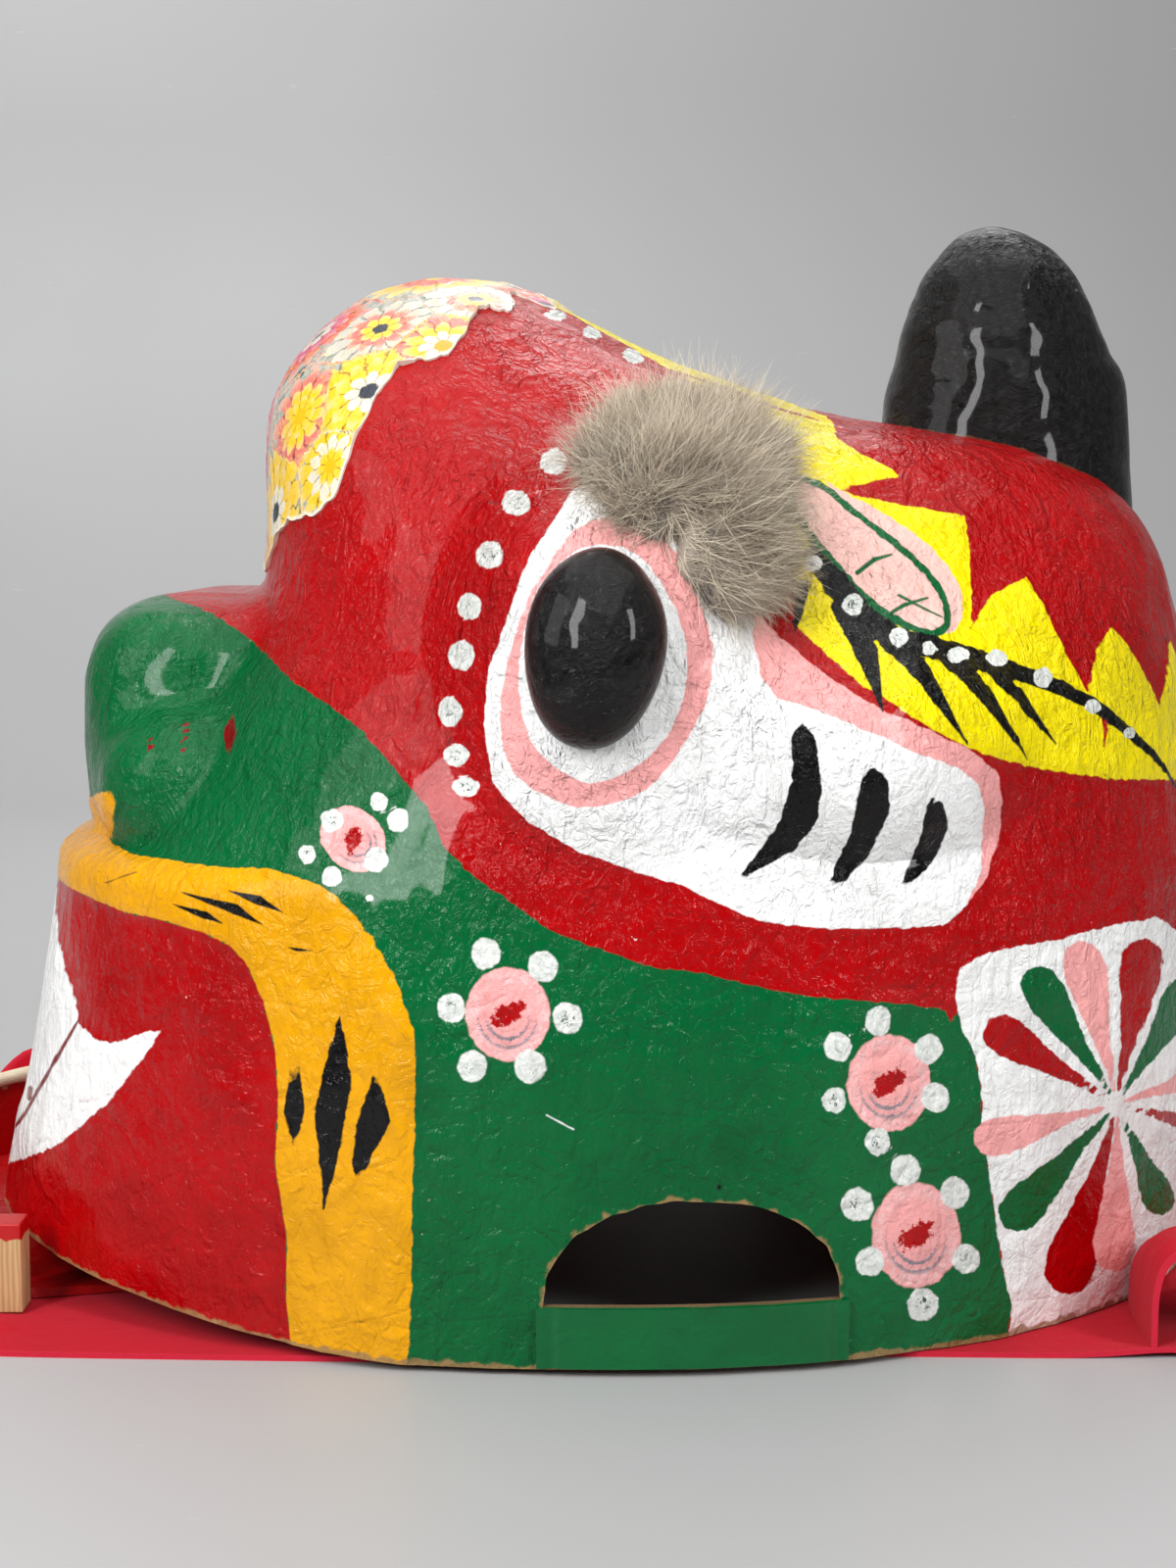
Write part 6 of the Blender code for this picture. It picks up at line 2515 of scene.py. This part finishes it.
@dataclass
class Cape:
    """Felt cape lying round the rim, and its upright fold at the right rear."""

    half_length: float = 300.0
    near_x: float = 176.0
    far_x: float = -194.0
    thick: float = 1.9
    hole_x: float = 166.25
    hole_y: float = 203.0
    around: int = 360
    steps: int = 44
    fold_start: float = 121.4
    fold_end: float = 172.0
    fold_y: float = 211.0
    # Share of the way outwards, height, half-width.
    fold_rows: tuple = ((0.0, 27.0, 25.0), (0.36, 35.0, 27.0), (0.72, 38.0, 28.0), (1.0, 38.5, 28.0))

    def edge(self, turn: Array) -> tuple[Array, Array]:
        """Outer edge in plan, by angle from the front."""
        c, s = np.cos(turn), np.sin(turn)
        half = np.where(s >= 0.0, self.near_x, -self.far_x)
        scale = (np.abs(c) ** 7.0 + np.abs(s) ** 7.0) ** (-1.0 / 7.0)
        wander = 1.0 - 0.012 * (1.0 - np.cos(5.0 * turn)) - 0.006 * (1.0 - np.cos(9.0 * turn))
        return half * scale * s * wander, -self.half_length * scale * c * wander

    @staticmethod
    def gauge(x: Array, y: Array) -> Array:
        """1 on the head's rim in plan, more outside it."""
        reach = np.where(y >= 6.0, 225.0, 246.0)
        return (np.abs(x / 190.0) ** 2.05 + np.abs((y - 6.0) / reach) ** 2.05) ** 0.488

    def lift(self, x: Array, y: Array) -> Array:
        """Height of the underside over the floor: soft waves and one raised corner."""
        corner = 36.0 * smooth_step((-x - 128.0) / 60.0) * smooth_step((-y - 222.0) / 50.0)
        places = np.stack([x, y, np.zeros_like(x)], -1)
        free = smooth_step((self.gauge(x, y) - 1.08) / 0.2)
        waves = Lattice(91).at(places, 46.0) * 1.4 + Lattice(93).at(places, 19.0) * 0.7 - 0.25
        return corner + 3.4 * np.clip(waves, 0.0, None) * free

    def build(self, felt: Finish) -> tuple[Piece, float]:
        """Makes the lying sheet.

        Args:
            felt: Its finish.

        Returns:
            The sheet's object, and its area in square metres.
        """
        turn = np.linspace(0.0, TAU, self.around, endpoint=False)
        out_x, out_y = self.edge(turn)
        in_x, in_y = self.hole_x * np.sin(turn), -self.hole_y * np.cos(turn)
        weave, tops, lows, gaps = Weave(), [], [], []
        for share in np.linspace(0.0, 1.0, self.steps):
            x, y = in_x + (out_x - in_x) * share, in_y + (out_y - in_y) * share
            z = self.lift(x, y)
            lows.append(weave.row(np.stack([x, y, z], -1)))
            tops.append(weave.row(np.stack([x, y, z + self.thick], -1)))
            gaps.append(np.full(2 * self.around, (1.0 - share) * 60.0))
        weave.tube(lows)
        weave.tube(tops)
        weave.strip(lows[0], tops[0])
        weave.strip(lows[-1], tops[-1])
        cape = weave.piece("felt_cape", felt)
        store(cape.data, "edge", np.concatenate(gaps))
        ring = np.stack([out_x, out_y], -1)
        hole = np.stack([in_x, in_y], -1)
        area = abs(self.shoelace(ring)) - abs(self.shoelace(hole))
        return cape, area * MM**2

    @staticmethod
    def shoelace(ring: Array) -> float:
        """Area inside a closed outline."""
        after = np.roll(ring, -1, axis=0)
        return 0.5 * float(np.sum(ring[:, 0] * after[:, 1] - after[:, 0] * ring[:, 1]))

    def build_fold(self, felt: Finish) -> tuple[Piece, float, float]:
        """Makes the upright fold, a felt arch open towards the side.

        Args:
            felt: Its finish.

        Returns:
            The fold's object, and the flat width and length of its felt in metres.
        """
        turn = np.linspace(0.0, math.pi, 73)
        start, end, middle = self.fold_start, self.fold_end, self.fold_y
        weave, rings, arcs, foot = Weave(), [], [], 2.2
        c, s = np.cos(turn), np.sin(turn)
        grow = (np.abs(c) ** 3.4 + np.abs(s) ** 3.4) ** (-1.0 / 3.4)
        shares, heights, halves = np.array(self.fold_rows).T
        for share in np.linspace(0.0, 1.0, 41):
            height, half = np.interp(share, shares, heights), np.interp(share, shares, halves)
            x = np.full_like(c, start + (end - start) * share)
            flop = 1.6 * np.sin(2.0 * turn + 3.0 * share) * share + 0.8 * np.sin(5.0 * turn) * share
            y, z = -half * c * grow + flop * 0.6, height * s * grow + flop * s * 0.5
            outer = np.stack([x, middle + y, foot + z], -1)
            y, z = y * (1.0 - 2.0 / half), z * (1.0 - 2.0 / height)
            inner = np.stack([x, middle + y, foot + z], -1)
            rings.append(weave.row(np.concatenate([outer, inner[::-1]])))
            arcs.append(float(np.linalg.norm(np.diff(outer, axis=0), axis=1).sum()))
        weave.tube(rings)
        count = len(turn)
        for ring in (rings[0], rings[-1]):
            for k in range(count - 1):
                weave.face((ring[k], ring[k + 1], ring[-2 - k], ring[-1 - k]))
        fold = weave.piece("felt_fold", felt)
        gap = np.repeat((1.0 - np.linspace(0.0, 1.0, 41)) * 50.0, 2 * count)
        store(fold.data, "edge", gap)
        return fold, (end - start) * MM, float(np.mean(arcs)) * MM


@dataclass
class Studio:
    """Pale floor, grey backdrop and soft lights."""

    floor_grey: Colour = linear(168, 168, 168)

    def floor(self) -> Piece:
        """Floor that curves up into the backdrop.

        Returns:
            The floor's object.
        """
        g = Graph("studio_paper")
        tone = g.noise(0.6, 3.0)
        colour = g.blend(tone * 0.4, self.floor_grey, linear(178, 178, 179))
        grain = g.noise(0.002, 2.0)
        drawn = g.mapped((1.0, 0.15, 1.0), (0.0, 0.0, 0.7))
        scratch = g.noise(0.01, 4.0, 0.7, drawn).ramp(0.7, 0.72, 0.0, 0.2)
        colour = g.blend(scratch, colour, linear(214, 216, 220))
        rough = tone.ramp(0.3, 0.7, 0.45, 0.6)
        material = g.shade(Base_Color=colour, Roughness=rough, Normal=g.bump(grain, 0.0002, 0.2))
        bend, start = 0.7, -1.3
        profile = [(2.6, 0.0), (start, 0.0)]
        for a in np.linspace(0.1, 1.5708, 15):
            profile.append((start - bend * math.sin(a), bend - bend * math.cos(a)))
        profile.append((-2.0, 3.6))
        points = [(x, y, z) for x, z in profile for y in (-4.0, 4.0)]
        faces = [(2 * k, 2 * k + 1, 2 * k + 3, 2 * k + 2) for k in range(len(profile) - 1)]
        mesh = bpy.data.meshes.new("studio_floor")
        mesh.from_pydata(points, [], faces)
        work = bmesh.new()
        work.from_mesh(mesh)
        if work.faces[:][0].normal.z < 0.0:
            bmesh.ops.reverse_faces(work, faces=work.faces[:])
        work.to_mesh(mesh)
        work.free()
        floor = to_object("studio_floor", mesh, material)
        floor.data.shade_smooth()
        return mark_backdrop(floor)

    @staticmethod
    def lamp(name: str, place: tuple, aim: tuple, size: tuple, power: float) -> None:
        """One soft box.

        Args:
            name: Its name.
            place: Where it hangs, in metres.
            aim: What it points at.
            size: Width and height in metres.
            power: Watts.
        """
        data = bpy.data.lights.new(name, "AREA")
        data.shape = "RECTANGLE"
        data.size, data.size_y = size
        data.energy = power
        lamp = bpy.data.objects.new(name, data)
        lamp.location = place
        lamp.rotation_mode = "QUATERNION"
        lamp.rotation_quaternion = (Vector(aim) - Vector(place)).to_track_quat("-Z", "Y")
        bpy.context.scene.collection.objects.link(lamp)

    def lights(self) -> None:
        """Hangs the lights and sets the room's glow."""
        self.lamp("overhead_box", (0.3, -0.1, 1.7), (0.0, 0.0, 0.15), (2.2, 2.4), 23.5)
        self.lamp("left_strip", (1.15, -0.86, 0.95), (0.05, -0.05, 0.16), (0.26, 0.9), 17.0)
        self.lamp("right_strip", (1.05, 1.0, 0.9), (0.05, 0.1, 0.14), (0.22, 0.85), 12.0)
        self.lamp("front_box", (0.6, -1.2, 0.85), (0.0, -0.05, 0.2), (0.5, 0.75), 4.0)
        self.lamp("far_box", (-1.1, 0.2, 1.5), (0.0, 0.0, 0.2), (0.9, 0.9), 9.0)
        self.lamp("wall_box", (-0.7, -0.9, 1.7), (-2.0, -0.7, 1.1), (0.9, 0.6), 20.0)
        world = bpy.data.worlds.new("studio_room")
        world.use_nodes = True
        back = world.node_tree.nodes["Background"]
        back.inputs["Color"].default_value = (0.82, 0.84, 0.87, 1.0)
        back.inputs["Strength"].default_value = 0.12
        bpy.context.scene.world = world
        bpy.context.scene.view_settings.view_transform = "Standard"


@dataclass
class LionHead:
    """Builds every piece and sets it in the frame."""

    camera: PhotoCamera = field(default_factory=PhotoCamera)
    studio: Studio = field(default_factory=Studio)

    @staticmethod
    def place(piece: Piece, slot: str, *nodes: str) -> Piece:
        """Ties a piece to the frame in place of its CAD nodes.

        Args:
            piece: The piece.
            slot: Its slot in the record.
            *nodes: The nodes it stands for.

        Returns:
            The piece.
        """
        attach(piece, "root")
        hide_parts(*nodes)
        log.info("%s: %d faces, for %s", piece.name, len(piece.data.polygons), ", ".join(nodes))
        return piece

    def build(self) -> None:
        """Makes the whole part and its studio."""
        paint = LacquerFinish().make()
        inside = RawPaperFinish("bare_inside", linear(176, 160, 130), linear(118, 98, 72)).make()
        raw = RawPaperFinish("cut_edge", linear(150, 120, 80), linear(88, 64, 38)).make()
        shell = HeadShell(HeadForm(), self.camera, Painting())
        self.place(shell.build(paint, inside, raw), "papier_mache", "head_shell")
        self.place(Horn(shell).build(GlossBlackFinish("horn_black", 0.9, True).make()), "horn", "horn")
        black = GlossBlackFinish("eye_black_varnish", 0.6).make()
        hair = FurFinish().make()
        card = PlainPaintFinish("green_card", Pigment.GREEN.paint, 0.26).make()
        for side in Side:
            self.place(Eyeball(shell).build(side, black), "eye_black", f"eyeball_{side.word}")
            self.place(FurBrow(shell).build(side, hair), "fur", f"fur_brow_{side.word}")
            self.place(OpeningSill(shell).build(side, card), "card", f"opening_sill_{side.word}")
        flowers = ForeheadFlowers(shell).build(CollageFinish().make())
        self.place(flowers, "forehead_decal", "forehead_decal")
        self.build_jaw()
        self.build_cape()

    def build_jaw(self) -> None:
        """Makes the jaw's pieces."""
        jaw = Jaw()
        red = PlainPaintFinish("jaw_red", Pigment.RED.paint, 0.3).make()
        self.place(jaw.sweep("painted_scoop", jaw.scoop_profile, red, 0.35), "jaw_paint", "lower_jaw")
        band = ClothBandFinish().make()
        self.place(jaw.sweep("cloth_band", jaw.band_profile, band, 0.3), "jaw_rim", "jaw_rim")
        wood = WoodFinish().make()
        for side in Side:
            self.place(jaw.block(side, wood), "wood", f"jaw_block_{side.word}")

    def build_cape(self) -> None:
        """Makes the felt and says how large it was cut."""
        felt, cape = FeltFinish().make(), Cape()
        lying, area = cape.build(felt)
        self.place(lying, "body_cloth", "body_cloth")
        fold, width, length = cape.build_fold(felt)
        self.place(fold, "body_cloth", "cape_pleat")


def main() -> None:
    """Builds the part in order and writes its size."""
    logging.basicConfig(level=logging.INFO, format="%(name)s: %(message)s")
    head = LionHead()
    head.camera.make()
    head.build()
    head.studio.floor()
    head.studio.lights()


if __name__ == "__main__":
    main()
